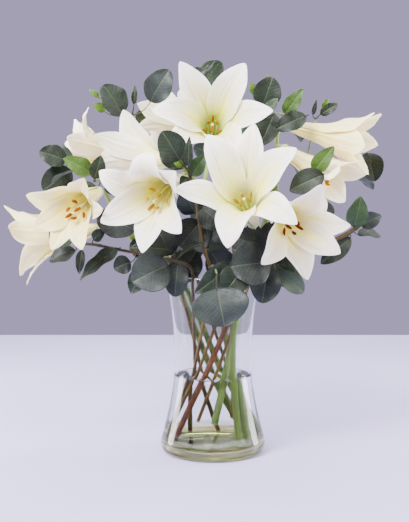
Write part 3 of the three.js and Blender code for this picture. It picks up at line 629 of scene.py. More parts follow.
def petal_material():
    """Petals: along goes from 0 at the heel to 1 at the tip, across from -1 to 1 over the margins,
    and side is 0 on the inner face and 1 on the outer one."""
    s = Shader(bpy.data.materials.new("petal"))
    along, across, side = s.place()
    tint = s.tint()
    beside = s.math("ABSOLUTE", across)
    reach = s.plus(along, s.times(s.minus(s.noise(55, 3), 0.5), 0.16))
    inside = s.minus(1.0, s.times(side, 0.6))
    throat = s.times(s.ramp(s.plus(reach, s.times(beside, 0.16)), 1.0, 0.42), inside)
    # A creamier bloom has a warmer throat.
    warmth = s.ramp(s.node("ShaderNodeSeparateColor", 2, {0: tint}), 0.84, 0.74)
    body = s.blend(throat, tint, s.blend(warmth, colour(220, 226, 22), colour(242, 230, 48)))
    deep = s.times(s.ramp(reach, 0.56, 0.26), inside)
    body = s.layer(body, deep, 0.75, s.blend(warmth, colour(136, 170, 0), colour(226, 204, 10)))
    rib = s.times(s.ramp(beside, 0.16, 0.02), s.ramp(along, 0.86, 0.3))
    body = s.layer(body, rib, 0.42, colour(198, 212, 84))
    heel = s.ramp(along, 0.16, -0.02)
    body = s.layer(body, heel, 0.85, colour(160, 184, 70))
    stretched = s.join(s.times(along, 1.1), s.times(across, 4.2), s.times(s.noise(9, 1), 3.0))
    veins = s.ramp(s.noise(1.0, 3, 0.62, vector=stretched), 0.5, 0.72)
    body = s.layer(body, veins, 0.55, colour(200, 188, 182))
    cloud = s.ramp(s.noise(34, 3, 0.6), 0.35, 0.75)
    body = s.layer(body, cloud, 0.3, colour(214, 200, 204))
    # Painted shade: the middle of each petal, short of its tip and outside the throat, is darker and
    # warmer.
    middle = s.times(s.ramp(beside, 0.95, 0.3), s.ramp(along, 1.0, 0.7), s.minus(1.0, throat))
    body = s.layer(body, middle, 0.46, colour(214, 194, 176))
    # Painted highlight: towards the tip, the margins give out light of their own so that they read
    # brighter.
    rim = s.times(s.ramp(beside, 0.78, 0.97), s.ramp(along, 0.45, 0.7))
    height = s.plus(s.times(veins, -2.0), s.times(s.noise(1300, 2), 0.35))
    return s.surface_is(
        Base_Color=body,
        Roughness=s.varied(400, 2, 0.42, 0.56),
        Normal=s.bump(height, 0.5, 0.0006),
        Specular_IOR_Level=0.32,
        **flesh(0.42, (1.0, 0.88, 0.62), 0.004),
        # Painted light: the throat glows with the petal's own colour, standing for light coming through
        # the petals, and the margins carry a painted highlight.
        Emission_Color=body,
        Emission_Strength=s.plus(s.times(throat, 0.24), s.times(rim, 0.22)),
        Sheen_Weight=0.12,
        Sheen_Roughness=0.45,
    )


def leaf_material():
    """Leaves, twigs and woody stems: along and across are in mm, and a place's third number tells
    them apart, 0 and 1 for a leaf's upper and under face and 2 for a twig."""
    s = Shader(bpy.data.materials.new("eucalyptus"))
    along, across, side = s.place()
    is_twig = s.math("GREATER_THAN", side, 1.5)
    is_leaf = s.minus(1.0, is_twig)
    beside = s.math("ABSOLUTE", across)
    lean = s.minus(along, s.times(beside, 0.75))
    # A side vein runs where this passes a half between whole numbers.
    turns = s.plus(s.times(lean, 0.19), s.times(s.noise(120, 2), 1.1))
    far = s.math("ABSOLUTE", s.minus(s.math("FRACT", turns), 0.5))
    side_veins = s.times(s.ramp(far, 0, 0.07, 1, 0), s.ramp(beside, 0.4, 1.2))
    midrib = s.ramp(beside, 0.75, 0.25)
    veins = s.times(s.math("MAXIMUM", midrib, s.times(side_veins, 0.5)), is_leaf)
    body = s.layer(s.tint(), s.times(side, is_leaf), 0.35, colour(70, 88, 64))
    bloom = s.ramp(s.noise(42, 4, 0.65), 0.36, 0.72)
    body = s.layer(body, s.times(bloom, is_leaf), 0.12, colour(84, 98, 94))
    body = s.darken(body, s.ramp(s.noise(260, 3, 0.6), 0.3, 0.75, 0.78, 1.12))
    body = s.layer(body, veins, 0.2, colour(112, 132, 88))
    stretched = s.join(s.times(along, 0.05), s.times(across, 9.0))
    bark = s.times(s.ramp(s.noise(2.2, 4, 0.7, vector=stretched), 0.34, 0.68), is_twig)
    body = s.layer(body, bark, 0.45, colour(50, 26, 8))
    height = s.plus(s.times(veins, -0.9), s.times(s.noise(900, 2), 0.3), s.times(bark, -0.8))
    return s.surface_is(
        Base_Color=body,
        Roughness=s.varied(150, 3, 0.44, 0.62),
        Normal=s.bump(height, 0.45, 0.0006),
        Specular_IOR_Level=0.3,
        **flesh(0.04, (0.5, 0.9, 0.3), 0.0015),
    )


def lily_stem_material():
    s = Shader(bpy.data.materials.new("lily_stem"))
    along, around, _ = s.place()
    stretched = s.join(s.times(along, 0.035), s.times(around, 14.0))
    streak = s.ramp(s.noise(2.0, 4, 0.6, vector=stretched), 0.3, 0.7)
    body = s.layer(s.tint(), streak, 0.45, colour(62, 90, 18))
    spots = s.ramp(s.noise(420, 3, 0.7), 0.66, 0.76)
    body = s.layer(body, spots, 0.35, colour(150, 132, 78))
    height = s.plus(s.times(streak, 0.8), s.times(s.noise(700, 2), 0.4))
    return s.surface_is(
        Base_Color=body,
        Roughness=s.varied(120, 2, 0.34, 0.5),
        Normal=s.bump(height, 0.35, 0.0005),
        Specular_IOR_Level=0.45,
        **flesh(0.12, (0.6, 0.9, 0.3), 0.002),
    )


def stamen_material():
    """Filaments, style and anthers: a place's third number is 1 on the powdery anthers."""
    s = Shader(bpy.data.materials.new("stamen"))
    _, _, powder = s.place()
    tint = s.tint()
    grains = s.noise(3200, 3, 0.7)
    body = s.blend(powder, tint, s.darken(tint, s.ramp(grains, 0.35, 0.68, 0.55, 1.2)))
    soft = s.times(s.varied(380, 2), 0.22, s.minus(1.0, powder))
    body = s.blend(soft, body, colour(232, 214, 120))
    return s.surface_is(
        Base_Color=body,
        Roughness=s.ramp(powder, 0, 1, 0.45, 0.92),
        Normal=s.bump(s.times(grains, powder), 0.7, 0.0004),
        Specular_IOR_Level=0.1,
        **flesh(0.04, (0.9, 0.8, 0.4), 0.0015),
    )


def clear_material(name, shade, thick, ior, waviness, painted_light_share):
    """Glass or water: clear, with a faint ripple in its skin. Where it is thick, near its foot, it is
    tinted, with amber patches painted there for the stems seen through it, and streaks of painted light,
    standing for light that it gathers, show as a paler share of its body."""
    s = Shader(bpy.data.materials.new(name))
    x, _, z = s.split(s.coordinates)
    low = s.ramp(z, 2.2 * HEEL_HEIGHT / MM_PER_M, 0.004)
    drift = s.varied(22, 2, 0, 0.06)
    level = s.join(s.times(x, 9.0), z=s.times(z, 160.0))
    # Painted light: near the foot, streaks of the body show pale instead of clear, for light that the
    # glass gathers.
    painted_light_streaks = s.ramp(s.noise(1.0, 3, 0.6, vector=level, distortion=1.2), 0.42, 0.66)
    # Painted refraction: amber patches near the foot, and faintly elsewhere, for the brown stems seen
    # through the glass.
    painted_amber_refraction = s.ramp(s.noise(1.6, 2, 0.5, vector=level, distortion=0.8), 0.5, 0.68)
    deep = s.blend(painted_amber_refraction, thick, colour(184, 118, 16))
    return s.surface_is(
        Base_Color=s.blend(s.math("MAXIMUM", low, drift), shade, deep),
        Roughness=0.0,
        IOR=ior,
        Transmission_Weight=s.minus(1.0, s.times(low, painted_light_streaks, painted_light_share)),
        Normal=s.bump(s.noise(30, 2), waviness, 0.0006),
    )


petal = petal_material()
foliage = leaf_material()
lily_green = lily_stem_material()
stamen = stamen_material()
# The wall is thin above the foot, and mirrors less of the room than a solid block would.
GLASS_BANDS = {"foot_glass": 1.47, "wet_glass": 1.3, "dry_glass": 1.12}
GLASS_LEVELS = [0.02, WATER_LEVEL / MM_PER_M]
WATER_IOR = 1.2
glass = [
    clear_material(name, colour(250, 253, 252), colour(192, 204, 92), ior, waviness=0.12, painted_light_share=0.5)
    for name, ior in GLASS_BANDS.items()
]
water = clear_material(
    "water", colour(251, 253, 250), colour(246, 250, 242), WATER_IOR, waviness=0.05, painted_light_share=0.3
)

# ---- Blooms ----

MIDRIB_STEPS = 48
PETAL_ROWS = 38
PETAL_HALF_COLUMNS = (0, 0.05, 0.11, 0.2, 0.34, 0.5, 0.68, 0.85, 0.97, 1)
# How far along the bloom and how thick, in mm.
RECEPTACLE = vec([(-4.6, 2.2), (-4.2, 3.6), (-3.2, 5), (-1.8, 6.3), (0, 7), (1.5, 6.4), (2.2, 4)])
BOSS = vec([(1.8, 1.8), (2.2, 2.6), (4, 2.8), (5.4, 2.5), (6, 1.7)])


def bloom_axes(bloom):
    """Forward along the tube, up, and right as seen from in front of the bloom."""
    a, e = radians(bloom["face"])
    forward = vec([sin(a) * cos(e), -cos(a) * cos(e), sin(e)])
    right = vec([cos(a), sin(a), 0])
    return forward, cross(forward, right), right


def outward(axes, angle):
    turn = radians(np.atleast_1d(angle))[..., None]
    return axes[1] * cos(turn) + axes[2] * sin(turn)


def midrib_lean(u, funnel, tepal):
    """How far a midrib leans out: first as the tube, then the funnel, then spread and curled."""
    _, spread, curl = tepal
    opened = smooth((u - 0.24) / 0.42)
    freed = smooth((u - 0.5) / 0.3)
    rolled = smooth((u - 0.62) / 0.4)
    lean = TUBE["lean"] + (funnel - TUBE["lean"]) * opened + (spread - funnel) * freed + curl * rolled
    return radians(lean)


def tepal_half_width(u, widest, tube_radius):
    peak = 0.66
    past = np.clip((u - peak) / (1 - peak), 0, 1)
    share = np.where(u < peak, mix(0.3, 1, smooth(u / peak)), (1 - past**2.4) ** 0.75)
    return np.minimum(widest * share, 0.92 * (pi / 3) * tube_radius)


def tepal_points(bloom, order, u, v):
    """Points of a tepal's middle surface, and how wide half of it is there."""
    forward, up, right = bloom_axes(bloom)
    size = bloom.get("size", 1)
    tepal = bloom["tepals"][order]
    is_inner = order % 2 == 0
    step = TEPAL["length"] * size / MIDRIB_STEPS
    leans = midrib_lean((np.arange(MIDRIB_STEPS + 1) + 0.5) / MIDRIB_STEPS, bloom["funnel"], tepal)
    outs = TUBE["radius"] + np.concatenate([[0], np.cumsum(step * sin(leans))])
    alongs = np.concatenate([[0], np.cumsum(step * cos(leans))])
    marks = np.arange(MIDRIB_STEPS + 2)
    out, along = (np.interp(u * MIDRIB_STEPS, marks, values) for values in (outs, alongs))
    radius = out + (-TUBE["whorl_offset"] if is_inner else TUBE["whorl_offset"])
    widest = (TEPAL["inner_half"] if is_inner else TEPAL["outer_half"]) * size
    half = tepal_half_width(u, widest, out)
    angle = mix(bloom["turn"] + 60 * order, tepal[0], smooth((u - 0.3) / 0.5))
    direction = outward((forward, up, right), angle)
    side = cross(direction, forward)
    flat_radius, flat_from = (36, 0.5) if is_inner else (60, 0.3)
    bend = mix(1 / radius, 1 / flat_radius, smooth((u - flat_from) / 0.3))
    arc = v * half * bend
    raised = (1 - cos(arc)) / bend
    lean = midrib_lean(u, bloom["funnel"], tepal)
    points = (
        vec(bloom["base"])
        + direction * (radius - raised * cos(lean))[..., None]
        + forward * (along + raised * sin(lean))[..., None]
        - side * (sin(arc) / bend)[..., None]
    )
    return points, half


def add_petal(piece, bloom, order, tint, chance):
    """One petal, with its midrib's groove and keel and a soft wave in its margin."""
    stations = (1 - (1 - linspace(0, 1, PETAL_ROWS + 1)) ** 1.5) * 0.9993
    u, v = grid(stations, both_sides(PETAL_HALF_COLUMNS))
    points, half = tepal_points(bloom, order, u, v * (1 - 0.24 * smooth((u - 0.7) / 0.28)))
    open_share = smooth((u - 0.42) / 0.2) * smooth((1 - u) / 0.12)
    phase, tempo = 6.3 * next(chance), 2.1 + 1.3 * next(chance)
    other = 6.3 * next(chance)
    wave = sin(2 * pi * tempo * u + np.where(v < 0, phase, other))
    lift = 1.5 * wave * np.abs(v) ** 3 * open_share
    points = points + grid_normal(points) * lift[..., None]
    off_rib = np.exp(-((v * half / 1.7) ** 2))
    thick = 0.32 * (1 - np.abs(v) ** 5) + 0.07
    groove = 0.75 * off_rib * smooth(u / 0.15) * smooth((1 - u) / 0.2)
    keel = 0.85 * off_rib * smooth((1 - u) / 0.5)
    shade = tint * (0.985 + 0.03 * next(chance))
    add_blade(piece, points, thick - groove, thick + groove + 0.5 * keel, (u, v), shade)


def add_receptacle(piece, bloom, tint):
    along, radius = RECEPTACLE.T
    start = len(piece.place)
    add_tube(piece, vec(bloom["base"]) + np.outer(along, bloom_axes(bloom)[0]), radius, 24, tint)
    # It takes the colour of a petal's heel.
    piece.place[start] = np.full_like(piece.points[start], 0) + [-0.02, 0.5, 1]


def make_bloom(name, bloom, chance):
    piece = Piece()
    tint = mix(PETAL_WHITE, PETAL_CREAM, bloom["cream"])
    for order in range(6):
        add_petal(piece, bloom, order, tint, chance)
    add_receptacle(piece, bloom, tint)
    piece.make(f"Bloom-{name}", petal, f"bloom_{name}")


def add_anther(piece, start, lie, out, tint):
    """A grooved pollen sac, a little bowed."""
    t = linspace(0, 1, 15)
    bow = cross(lie, cross(out, lie))
    path = start + np.outer(0.5 + ANTHER["length"] * t, lie)
    path = path + np.outer(ANTHER["bow"] * sin(pi * t), bow)
    swell = ANTHER["radius"] * sin(pi * np.clip(t * 0.96 + 0.02, 0, 1)) ** 0.45
    lobes = 0.82 + 0.18 * np.abs(cos(circle(16))) ** 0.6
    add_tube(piece, path, np.outer(swell, lobes), 16, tint, kind=1.0)


def make_stamens(name, bloom, chance):
    piece = Piece()
    axes = bloom_axes(bloom)
    forward = axes[0]
    base = vec(bloom["base"])
    reach, sag = bloom["stamens"]
    droop = vec([0, 0, sag])
    tone = colour(*ANTHER_TONES[bloom.get("anther", "orange")])
    t = linspace(0, 1, 19)
    shade = mix(STIGMA, FILAMENT, smooth(t[:, None] * 1.4))
    for k in range(6):
        out = outward(axes, bloom["turn"] + 60 * k + 30)[0]
        length = reach * (0.95 if k % 2 else 1.05)
        splay = length * np.tan(radians(FILAMENT_SPLAY))
        end = base + out * splay + forward * length - droop
        start = base + out * 1.7 + forward * 4
        lie = unit(out * (0.5 if k % 2 else -0.2) + forward)
        middle = mix(start, end, 0.55) + 0.25 * droop
        curve = spline([start - forward * 2, start, middle, end, end + lie * 1.5])
        add_tube(piece, curve.spaced(18), mix(*FILAMENT_RADII, t), 10, shade)
        add_anther(piece, end, lie, out, tone * (0.85 + 0.3 * next(chance)))
    tip = base + forward * (reach + STYLE["beyond"]) - droop
    middle = base + forward * 0.5 * reach
    style = spline([base + forward * 3, middle, tip, tip + forward * STYLE["stigma"]])
    t = linspace(0, 1, 29)
    knob = np.sqrt(np.clip(1 - ((t - 0.96) / 0.045) ** 2, 0, 1))
    radius = mix(*STYLE["radii"], t) + STYLE["swell"] * smooth((t - 0.92) / 0.06) * knob
    lobes = 1 - np.outer(smooth((t - 0.9) / 0.05), 0.2 * (1 - cos(3 * circle(18))))
    shade = mix(FILAMENT, STIGMA, smooth((t[:, None] - 0.6) / 0.4))
    add_tube(piece, style.spaced(28), radius[:, None] * lobes, 18, shade)
    along, radius = BOSS.T
    add_tube(piece, base + np.outer(along, forward), radius, 16, STIGMA)
    piece.make(f"Stamens-{name}", stamen, f"stamens_{name}")


# ---- Vase and water ----

# How far in from the wall and down from the surface the water's edge curves, in mm.
WATER_EDGE = ((0.5, 0.4), (1.6, 0.9), (4, 1.1))
WATER_SAG = 1.2
INTO_GLASS = 0.15


def vase_radius(z):
    z = np.asarray(z, dtype=float)
    fall = (z - HEEL_HEIGHT) / (WAIST_HEIGHT - HEEL_HEIGHT)
    rise = np.clip((z - WAIST_HEIGHT) / (VASE["height"] - WAIST_HEIGHT), 0, None)
    lower = mix(VASE["base"], VASE["waist"], sin(fall * pi / 2))
    return np.where(z < WAIST_HEIGHT, lower, mix(VASE["waist"], VASE["rim"], rise**1.7))


def inner_wall(top):
    """The vase's inside from its floor's middle up to a height."""
    floor = VASE["floor"]
    heights = linspace(HEEL_HEIGHT + 4, top, 44)
    wall = np.column_stack([vase_radius(heights) - VASE["wall"], heights])
    edge = VASE["base"] - VASE["corner"]
    corner = bezier(vec([edge, floor]), vec([wall[0][0] + 0.6, floor]), wall[0])
    dome = [(r, floor + VASE["dome"] * (1 - (r / edge) ** 2)) for r in linspace(0, edge, 9)[:-1]]
    return np.vstack([dome, corner.spaced(8), wall[1:]])


def make_vase():
    piece = Piece()
    lip = VASE["wall"] / 2
    shoulder = VASE["height"] - lip
    heights = linspace(HEEL_HEIGHT, shoulder, 48)
    outside = np.column_stack([vase_radius(heights), heights])
    heel = bezier(vec([VASE["foot"], 0]), vec([VASE["base"] + 0.4, 0.5]), outside[0])
    turn = linspace(0, pi, 9)
    middle = vase_radius(VASE["height"]) - lip
    rim = np.column_stack([middle + lip * cos(turn), shoulder + lip * sin(turn)])
    hollow = [(0, 0.8), (VASE["foot"] * 0.5, 0.6), (VASE["foot"] - 6, 0.2), (VASE["foot"] - 4, 0)]
    inside = inner_wall(shoulder)[::-1]
    add_lathe(piece, np.vstack([hollow, heel.spaced(7), outside[1:], rim[1:-1], inside]))
    mesh = piece.make("Glass", glass[0], "vase").data
    for material in glass[1:]:
        mesh.materials.append(material)
    heights = [polygon.center.z for polygon in mesh.polygons]
    mesh.polygons.foreach_set("material_index", np.digitize(heights, GLASS_LEVELS).astype(np.int32))


def make_water():
    """The water reaches a hair into the glass, so that the two are seen as wet glass."""
    piece = Piece()
    wall = inner_wall(WATER_LEVEL)
    beside = np.where(wall[:, 0] > 1, INTO_GLASS, 0)
    below = np.where(wall[:, 1] < HEEL_HEIGHT, -INTO_GLASS, 0)
    wall = wall + np.column_stack([beside, below])
    edge = wall[-1][0]
    surface = [(edge - away, WATER_LEVEL - down) for away, down in WATER_EDGE]
    surface += [(edge * share, WATER_LEVEL - WATER_SAG) for share in (0.7, 0.35, 0)]
    add_lathe(piece, np.vstack([wall, surface]))
    piece.make("Water", water, "water")


# ---- Stems ----

STEM_SIDES = 14
LILY_CROWN_RADII = (4.2, 4.6, 3.6)
# How far apart a stem's nodes are and how far they swell, in mm. A pedicel is too short for one.
NODES = dict(lily=(17, 0.5), pedicel=(400, 0), woody=(46, 0.5), twig=(30, 0.4))


def sheaf_point(angle, z):
    a = radians(angle)
    rise = SHEAF["slope"] * (z - WAIST_HEIGHT)
    waist = SHEAF["waist"]
    return vec([waist * cos(a) - rise * sin(a), waist * sin(a) + rise * cos(a), z])


def stem_points(stem, radius):
    if "sheaf" not in stem:
        return [vec(p) for p in stem["path"]]
    on_floor = VASE["floor"] + GAP + radius * sin(atan(SHEAF["slope"]))
    heights = (stem.get("foot", on_floor), *SHEAF["heights"])
    straight = [sheaf_point(stem["sheaf"], z) for z in heights]
    rim = straight[-1] * SHEAF["rim_spread"]
    rim[2] = SHEAF["rim"]
    return [*straight, rim, *(vec(p) for p in stem["path"])]


def pedicel_curve(points, bloom):
    before, end = points[-2:]
    forward = bloom_axes(bloom)[0]
    target = vec(bloom["base"]) + forward * (RECEPTACLE_FROM - GAP)
    reach = norm(end - target) * 0.4
    heading = unit(end - before)
    return bezier(end - heading, end + heading * reach, target - forward * reach, target)


def add_stem(piece, curve, radius, nodes, tints, chance, kind=0.0):
    """A stem that tapers a little and swells at its nodes, with its cut end paler."""
    spacing, scar = NODES[nodes]
    count = max(8, int(curve.length / 3))
    t = linspace(0, 1, count + 1)
    far = t * curve.length
    size = radius * mix(1.04, 0.9, t)
    start = spacing * (0.3 + 0.6 * next(chance))
    for node in np.arange(start, curve.length - 4, spacing):
        size = size + scar * np.exp(-(((far - node) / 2.2) ** 2))
    low, high, end = tints
    tint = mix(low, high, smooth((t[:, None] - 0.2) / 0.75))
    tint[0] = end
    add_tube(piece, curve.spaced(count), size, STEM_SIDES, tint, kind)


def make_lily_stem(name, stem, chance):
    piece = Piece()
    points = stem_points(stem, LILY_STEM_RADIUS)
    main = spline(points)
    add_stem(piece, main, LILY_STEM_RADIUS, "lily", (LILY_GREEN, LILY_GREEN, LILY_PALE), chance)
    for bloom in stem["blooms"]:
        pedicel = pedicel_curve(points, BLOOMS[bloom])
        tints = (LILY_GREEN, LILY_PALE, LILY_GREEN)
        add_stem(piece, pedicel, PEDICEL_RADIUS, "pedicel", tints, chance)
    add_tube(piece, main.spaced(60)[-3:], LILY_CROWN_RADII, STEM_SIDES, LILY_GREEN)
    piece.make(f"LilyStem-{name}", lily_green, f"lily_stem_{name}")


# ---- Leaves: where they stand ----


class Taken:
    """What a new leaf has to stay clear of."""

    def __init__(self):
        self.points, self.clear, self.owner = np.zeros((0, 3)), np.zeros(0), np.zeros(0, dtype=int)

    def take(self, points, kind, owner=-1):
        points = np.asarray(points).reshape(-1, 3)
        self.points = np.vstack([self.points, points])
        self.clear = np.append(self.clear, np.full(len(points), LEAF_CLEAR[kind]))
        self.owner = np.append(self.owner, np.full(len(points), owner))

    def is_clear(self, points, owner, share):
        points = np.asarray(points).reshape(-1, 3)
        low = points[:, 2] < VASE["height"] + VASE_CLEAR["above"]
        wall = vase_radius(np.maximum(points[:, 2], HEEL_HEIGHT))
        beside = np.abs(np.hypot(points[:, 0], points[:, 1]) - wall) < VASE_CLEAR["beside"]
        if np.any(low & beside):
            return False
        others = self.owner != owner
        gaps = norm(points[:, None] - self.points[None, others], axis=2)
        return not np.any(gaps < self.clear[others] * share)


# Where a leaf is tried, in mm from where it is wanted.
NUDGES = (
    (0, 0, 0), (0, 6, 0), (0, -6, 0), (0, 12, 0), (0, -12, 0), (0, 0, 6), (0, 0, -6), (0, 20, 0),
    (0, -20, 0), (6, 8, 6), (-6, 8, 6), (6, -8, -6), (-6, -8, -6), (0, 28, 0), (0, 8, 12), (0, 8, -12),
)


def leaf_frame(leaf):
    run = leaf["tip"] - leaf["base"]
    along = unit(run)
    normal = unit(leaf["facing"] - along * np.dot(leaf["facing"], along))
    return run, along, normal, cross(along, normal)


def leaf_points(leaf, u, v, least):
    """Points of a leaf's middle surface, and how wide half of it is there."""
    run, _, normal, side = leaf_frame(leaf)
    length = norm(run)
    bluntness = 0.52 if leaf["shape"] > 0.85 else 0.7
    outline = sin(pi * np.clip(u, 0, 1) ** leaf["shape"]).clip(0) ** bluntness
    half = np.maximum(leaf["width"] / 2 * outline, least)
    lift = LEAF["arch"] * length * 4 * u * (1 - u) + LEAF["cup"] * half * v**2
    middle = leaf["base"] + run * u[..., None] + normal * lift[..., None]
    return middle + side * (half * v)[..., None], half


def leaf_stalk(leaf):
    along = leaf_frame(leaf)[1]
    elbow = leaf["base"] - along * 0.4 * norm(leaf["root"] - leaf["base"])
    return bezier(leaf["root"], elbow, leaf["base"])


def nearest_on(curves, point):
    """The point of a branch's straight-sided tubes that lies nearest to a given one, above the rim."""
    shares = np.arange(0, 1.01, 0.125)
    candidates = []
    for k, curve in enumerate(curves):
        corners = curve.corners(STEM_STEP if k == 0 else TWIG_STEP)
        for a, b in zip(corners[:-1], corners[1:]):
            candidates.append(a + (b - a) * shares[:, None])
    candidates = np.vstack(candidates)
    candidates = candidates[candidates[:, 2] > VASE["height"] + 5]
    return candidates[np.argmin(norm(candidates - point, axis=1))]


def place_leaf(leaf, owner, curves, taken):
    u, v = grid(mix(0.12, 1, linspace(0, 1, 6)) * 0.999, linspace(-1, 1, 5))
    for nudge in NUDGES:
        moved = {**leaf, "base": leaf["base"] + nudge, "tip": leaf["tip"] + nudge}
        moved["root"] = nearest_on(curves, moved["base"])
        points = leaf_points(moved, u, v, 1)[0]
        stalk = leaf_stalk(moved).point(np.array([0, 0.2, 0.4, 0.6, 0.8, 1]))
        if taken.is_clear(points, owner, 1) and taken.is_clear(stalk, owner, 0.8):
            taken.take(points, "leaf")
            taken.take(stalk, "stem", owner)
            return moved
    return None


def branch_curves(branch):
    main = spline(stem_points(branch, branch.get("radius", WOODY_RADIUS)))
    curves = [main]
    for first, *others in branch.get("twigs", ()):
        curves.append(spline([nearest_on([main], vec(first)), *map(vec, others)]))
    return curves


def hand_leaf(base, tip, width, tone, shape=0.9, roll=0):
    """A leaf from its row in the table, which faces the front but for its roll."""
    base, tip = vec(base), vec(tip)
    along = unit(tip - base)
    front = vec([0, -1, 0.3])
    flat = unit(front - along * np.dot(front, along))
    facing = turned(flat, along, radians(roll))
    return dict(base=base, tip=tip, width=width, shape=shape, facing=facing, tone=tone)


def fill_leaves(curve, chance):
    """Pairs of leaves at even steps along a curve, each pair turned from the last."""
    leaves = []
    angle = radians(FILL["angle"])
    for s in np.arange(FILL["spacing"] / 2, curve.length + 1, FILL["spacing"]):
        t = min(1, s / curve.length)
        p = curve.point(t)[0]
        if p[2] < FILL["start"]:
            continue
        ahead = min(1, t + 0.01)
        heading = unit(curve.point(ahead)[0] - curve.point(ahead - 0.02)[0])
        away = unit(vec([p[0], p[1], 0])) + vec([0, 0, 0.4])
        side = unit(cross(heading, away))
        for sign in (1, -1):
            size = mix(*FILL["length"], next(chance))
            turn = radians(90 * len(leaves) + 40 * (next(chance) - 0.5))
            spin = turned(side, heading, turn) * sign
            base = p + spin * 4 + heading * 3
            tip = base + (heading * cos(angle) + spin * sin(angle)) * size
            tone = FILL_TONES[len(leaves) % len(FILL_TONES)]
            width = size * FILL["share"]
            leaves.append(dict(base=base, tip=tip, width=width, shape=0.9, facing=away, tone=tone))
    return leaves


def arrange():
    """Every branch's curves and leaves, found in the same order as for the solids."""
    taken = Taken()
    u, v = grid(linspace(0, 1, 14) * 0.999, linspace(-1, 1, 6))
    for bloom in BLOOMS.values():
        for order in range(6):
            taken.take(tepal_points(bloom, order, u, v)[0], "petal")
    for stem in LILY_STEMS.values():
        points = stem_points(stem, LILY_STEM_RADIUS)
        pedicels = (pedicel_curve(points, BLOOMS[name]) for name in stem["blooms"])
        for path in (spline(points), *pedicels):
            taken.take(path.spaced(60), "stem")
    curves = {name: branch_curves(branch) for name, branch in BRANCHES.items()}
    owners = {name: k for k, name in enumerate(BRANCHES)}
    for name, paths in curves.items():
        for path in paths:
            taken.take(path.spaced(60), "stem", owners[name])

    def placed(leaves, name):
        found = (place_leaf(leaf, owners[name], curves[name], taken) for leaf in leaves)
        return [leaf for leaf in found if leaf]

    leaves = {name: placed([hand_leaf(*row) for row in rows], name) for name, rows in LEAVES.items()}
    chance = random_source(FILL["seed"])
    for name in BRANCHES:
        extra = [leaf for curve in curves[name] for leaf in fill_leaves(curve, chance)]
        leaves[name] += placed(extra, name)
    return curves, leaves


# ---- Leaves: what they look like ----

TWIG_KIND = 2.0
LEAF_ROWS = 20
LEAF_HALF_COLUMNS = (0, 0.06, 0.16, 0.34, 0.56, 0.78, 0.94, 1)


def add_leaf(piece, leaf, chance):
    """A leaf with a creased midrib and a soft wave in its margin, on its stalk."""
    stations = (1 - cos(pi * linspace(0.02, 0.985, LEAF_ROWS + 1))) / 2
    u, v = grid(stations, both_sides(LEAF_HALF_COLUMNS))
    points, half = leaf_points(leaf, u, v, 0.5)
    run, _, normal, _ = leaf_frame(leaf)
    length = norm(run)
    phase, tempo, twist = 6.3 * next(chance), 1.2 + 1.2 * next(chance), next(chance) - 0.5
    wave = 0.035 * length * np.abs(v) ** 2 * sin(2 * pi * tempo * u + phase + 1.3 * np.sign(v))
    lift = wave + 0.08 * twist * half * v * smooth(u / 0.5)
    points = points + normal * lift[..., None]
    crease = np.exp(-((v * half / 1.1) ** 2))
    thick = 0.2 * (1 - np.abs(v) ** 6) + 0.08
    tone = colour(*LEAF_TONES[leaf["tone"]]) * (0.82 + 0.36 * next(chance))
    upper = thick - 0.35 * crease
    under = thick + 0.6 * crease * (1 - 0.6 * u)
    # The blade's first face looks away from the way the leaf faces.
    start = len(piece.place)
    add_blade(piece, points, under, upper, (u * length, v * half), tone)
    piece.place[start] = piece.place[start] * [1, 1, -1] + [0, 0, 1]
    # The stalk runs a little way into the blade, along its middle column.
    path = np.vstack([leaf_stalk(leaf).spaced(8), points[3, len(LEAF_HALF_COLUMNS) - 1]])
    t = linspace(0, 1, len(path))
    add_tube(piece, path, mix(0.95, 0.5, t), 8, mix(TWIG_BROWN, tone, t[:, None]), kind=TWIG_KIND)


def make_branch(name, curves, leaves, chance):
    piece = Piece()
    main, *twigs = curves
    radius = BRANCHES[name].get("radius", WOODY_RADIUS)
    bark = BARK if radius > WOODY_RADIUS else AMBER
    add_stem(piece, main, radius, "woody", (bark, TWIG_BROWN, CUT_WOOD), chance, TWIG_KIND)
    for path in twigs:
        tints = (TWIG_BROWN, YOUNG_GREEN, TWIG_BROWN)
        add_stem(piece, path, TWIG_RADIUS, "twig", tints, chance, TWIG_KIND)
    for leaf in leaves:
        add_leaf(piece, leaf, chance)
    piece.make(f"Branch-{name}", foliage, f"eucalyptus_{name}")


# ---- The whole ----

SEED = 29

chance = random_source(SEED)
for name, bloom in BLOOMS.items():
    make_bloom(name, bloom, chance)
    make_stamens(name, bloom, chance)
for name, stem in LILY_STEMS.items():
    make_lily_stem(name, stem, chance)
curves, leaves = arrange()
for name in BRANCHES:
    make_branch(name, curves[name], leaves[name], chance)
make_vase()
make_water()

# ---- Stage, light and camera ----

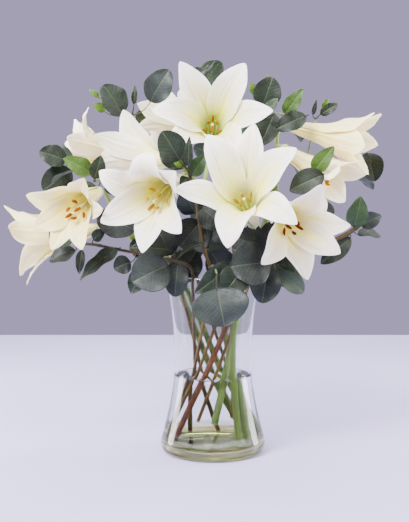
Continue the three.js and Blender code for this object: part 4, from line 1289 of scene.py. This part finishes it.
FLOOR_HALF = 0.875
CAMERA_PLACE = (-0.0106, -1.5, 0.4)
CAMERA_TARGET = (-0.0106, 0, 0.241)
SENSOR = 36
FOCAL_PIXELS, PHOTO_HEIGHT = 1207, 522
BOUQUET = (0, 0, 0.3)
VASE_MIDDLE = (0, 0, 0.15)
WHITE = (1, 1, 1)
WARM_WHITE = (1, 0.97, 0.9)

floor_mesh = bpy.data.meshes.new("Floor")
corners = [(x * FLOOR_HALF, y * FLOOR_HALF, 0) for x, y in ((-1, -1), (1, -1), (1, 1), (-1, 1))]
floor_mesh.from_pydata(corners, [], [(0, 1, 2, 3)])
ground = Shader(bpy.data.materials.new("floor"))
tone = ground.blend(ground.varied(3, 2), colour(184, 178, 220), colour(176, 170, 213))
floor_mesh.materials.append(
    ground.surface_is(Base_Color=tone, Roughness=0.3, Specular_IOR_Level=0.4)
)
add_object("Floor", floor_mesh)

# A plain wall behind the bouquet, and a darker room in front of it, which the glass mirrors.
world = bpy.data.worlds.new("Studio")
bpy.context.scene.world = world
room = Shader(world, "Background", "Generated")
_, depth, _ = room.split(room.coordinates)
walls = room.blend(room.ramp(depth, -0.75, 0.1), colour(116, 112, 128), colour(176, 166, 204))
room.surface_is(Color=walls, Strength=1.0)


def softbox(name, place, target, width, height, watts, tint=WHITE):
    light = bpy.data.lights.new(name, "AREA")
    light.shape = "RECTANGLE"
    light.size, light.size_y = width, height
    light.energy = watts
    light.color = tint
    aim(add_object(name, light), place, target)


softbox("Key", (-1.1, -1.3, 1.9), BOUQUET, 1.2, 1.2, 255)
softbox("Fill", (1.5, -1.2, 1.1), BOUQUET, 1.0, 1.2, 52, WARM_WHITE)
softbox("Top", (0.2, 0.7, 1.9), BOUQUET, 1.4, 1.0, 50)
softbox("LeftStrip", (-0.85, 0.25, 0.3), VASE_MIDDLE, 0.3, 0.9, 24)
softbox("RightStrip", (0.85, 0.25, 0.3), VASE_MIDDLE, 0.3, 0.9, 24)

camera_data = bpy.data.cameras.new("Camera")
camera_data.sensor_width = SENSOR
camera_data.lens = SENSOR * FOCAL_PIXELS / PHOTO_HEIGHT
camera_data.clip_start = 0.01
camera = add_object("Camera", camera_data)
aim(camera, CAMERA_PLACE, CAMERA_TARGET)
bpy.context.scene.camera = camera

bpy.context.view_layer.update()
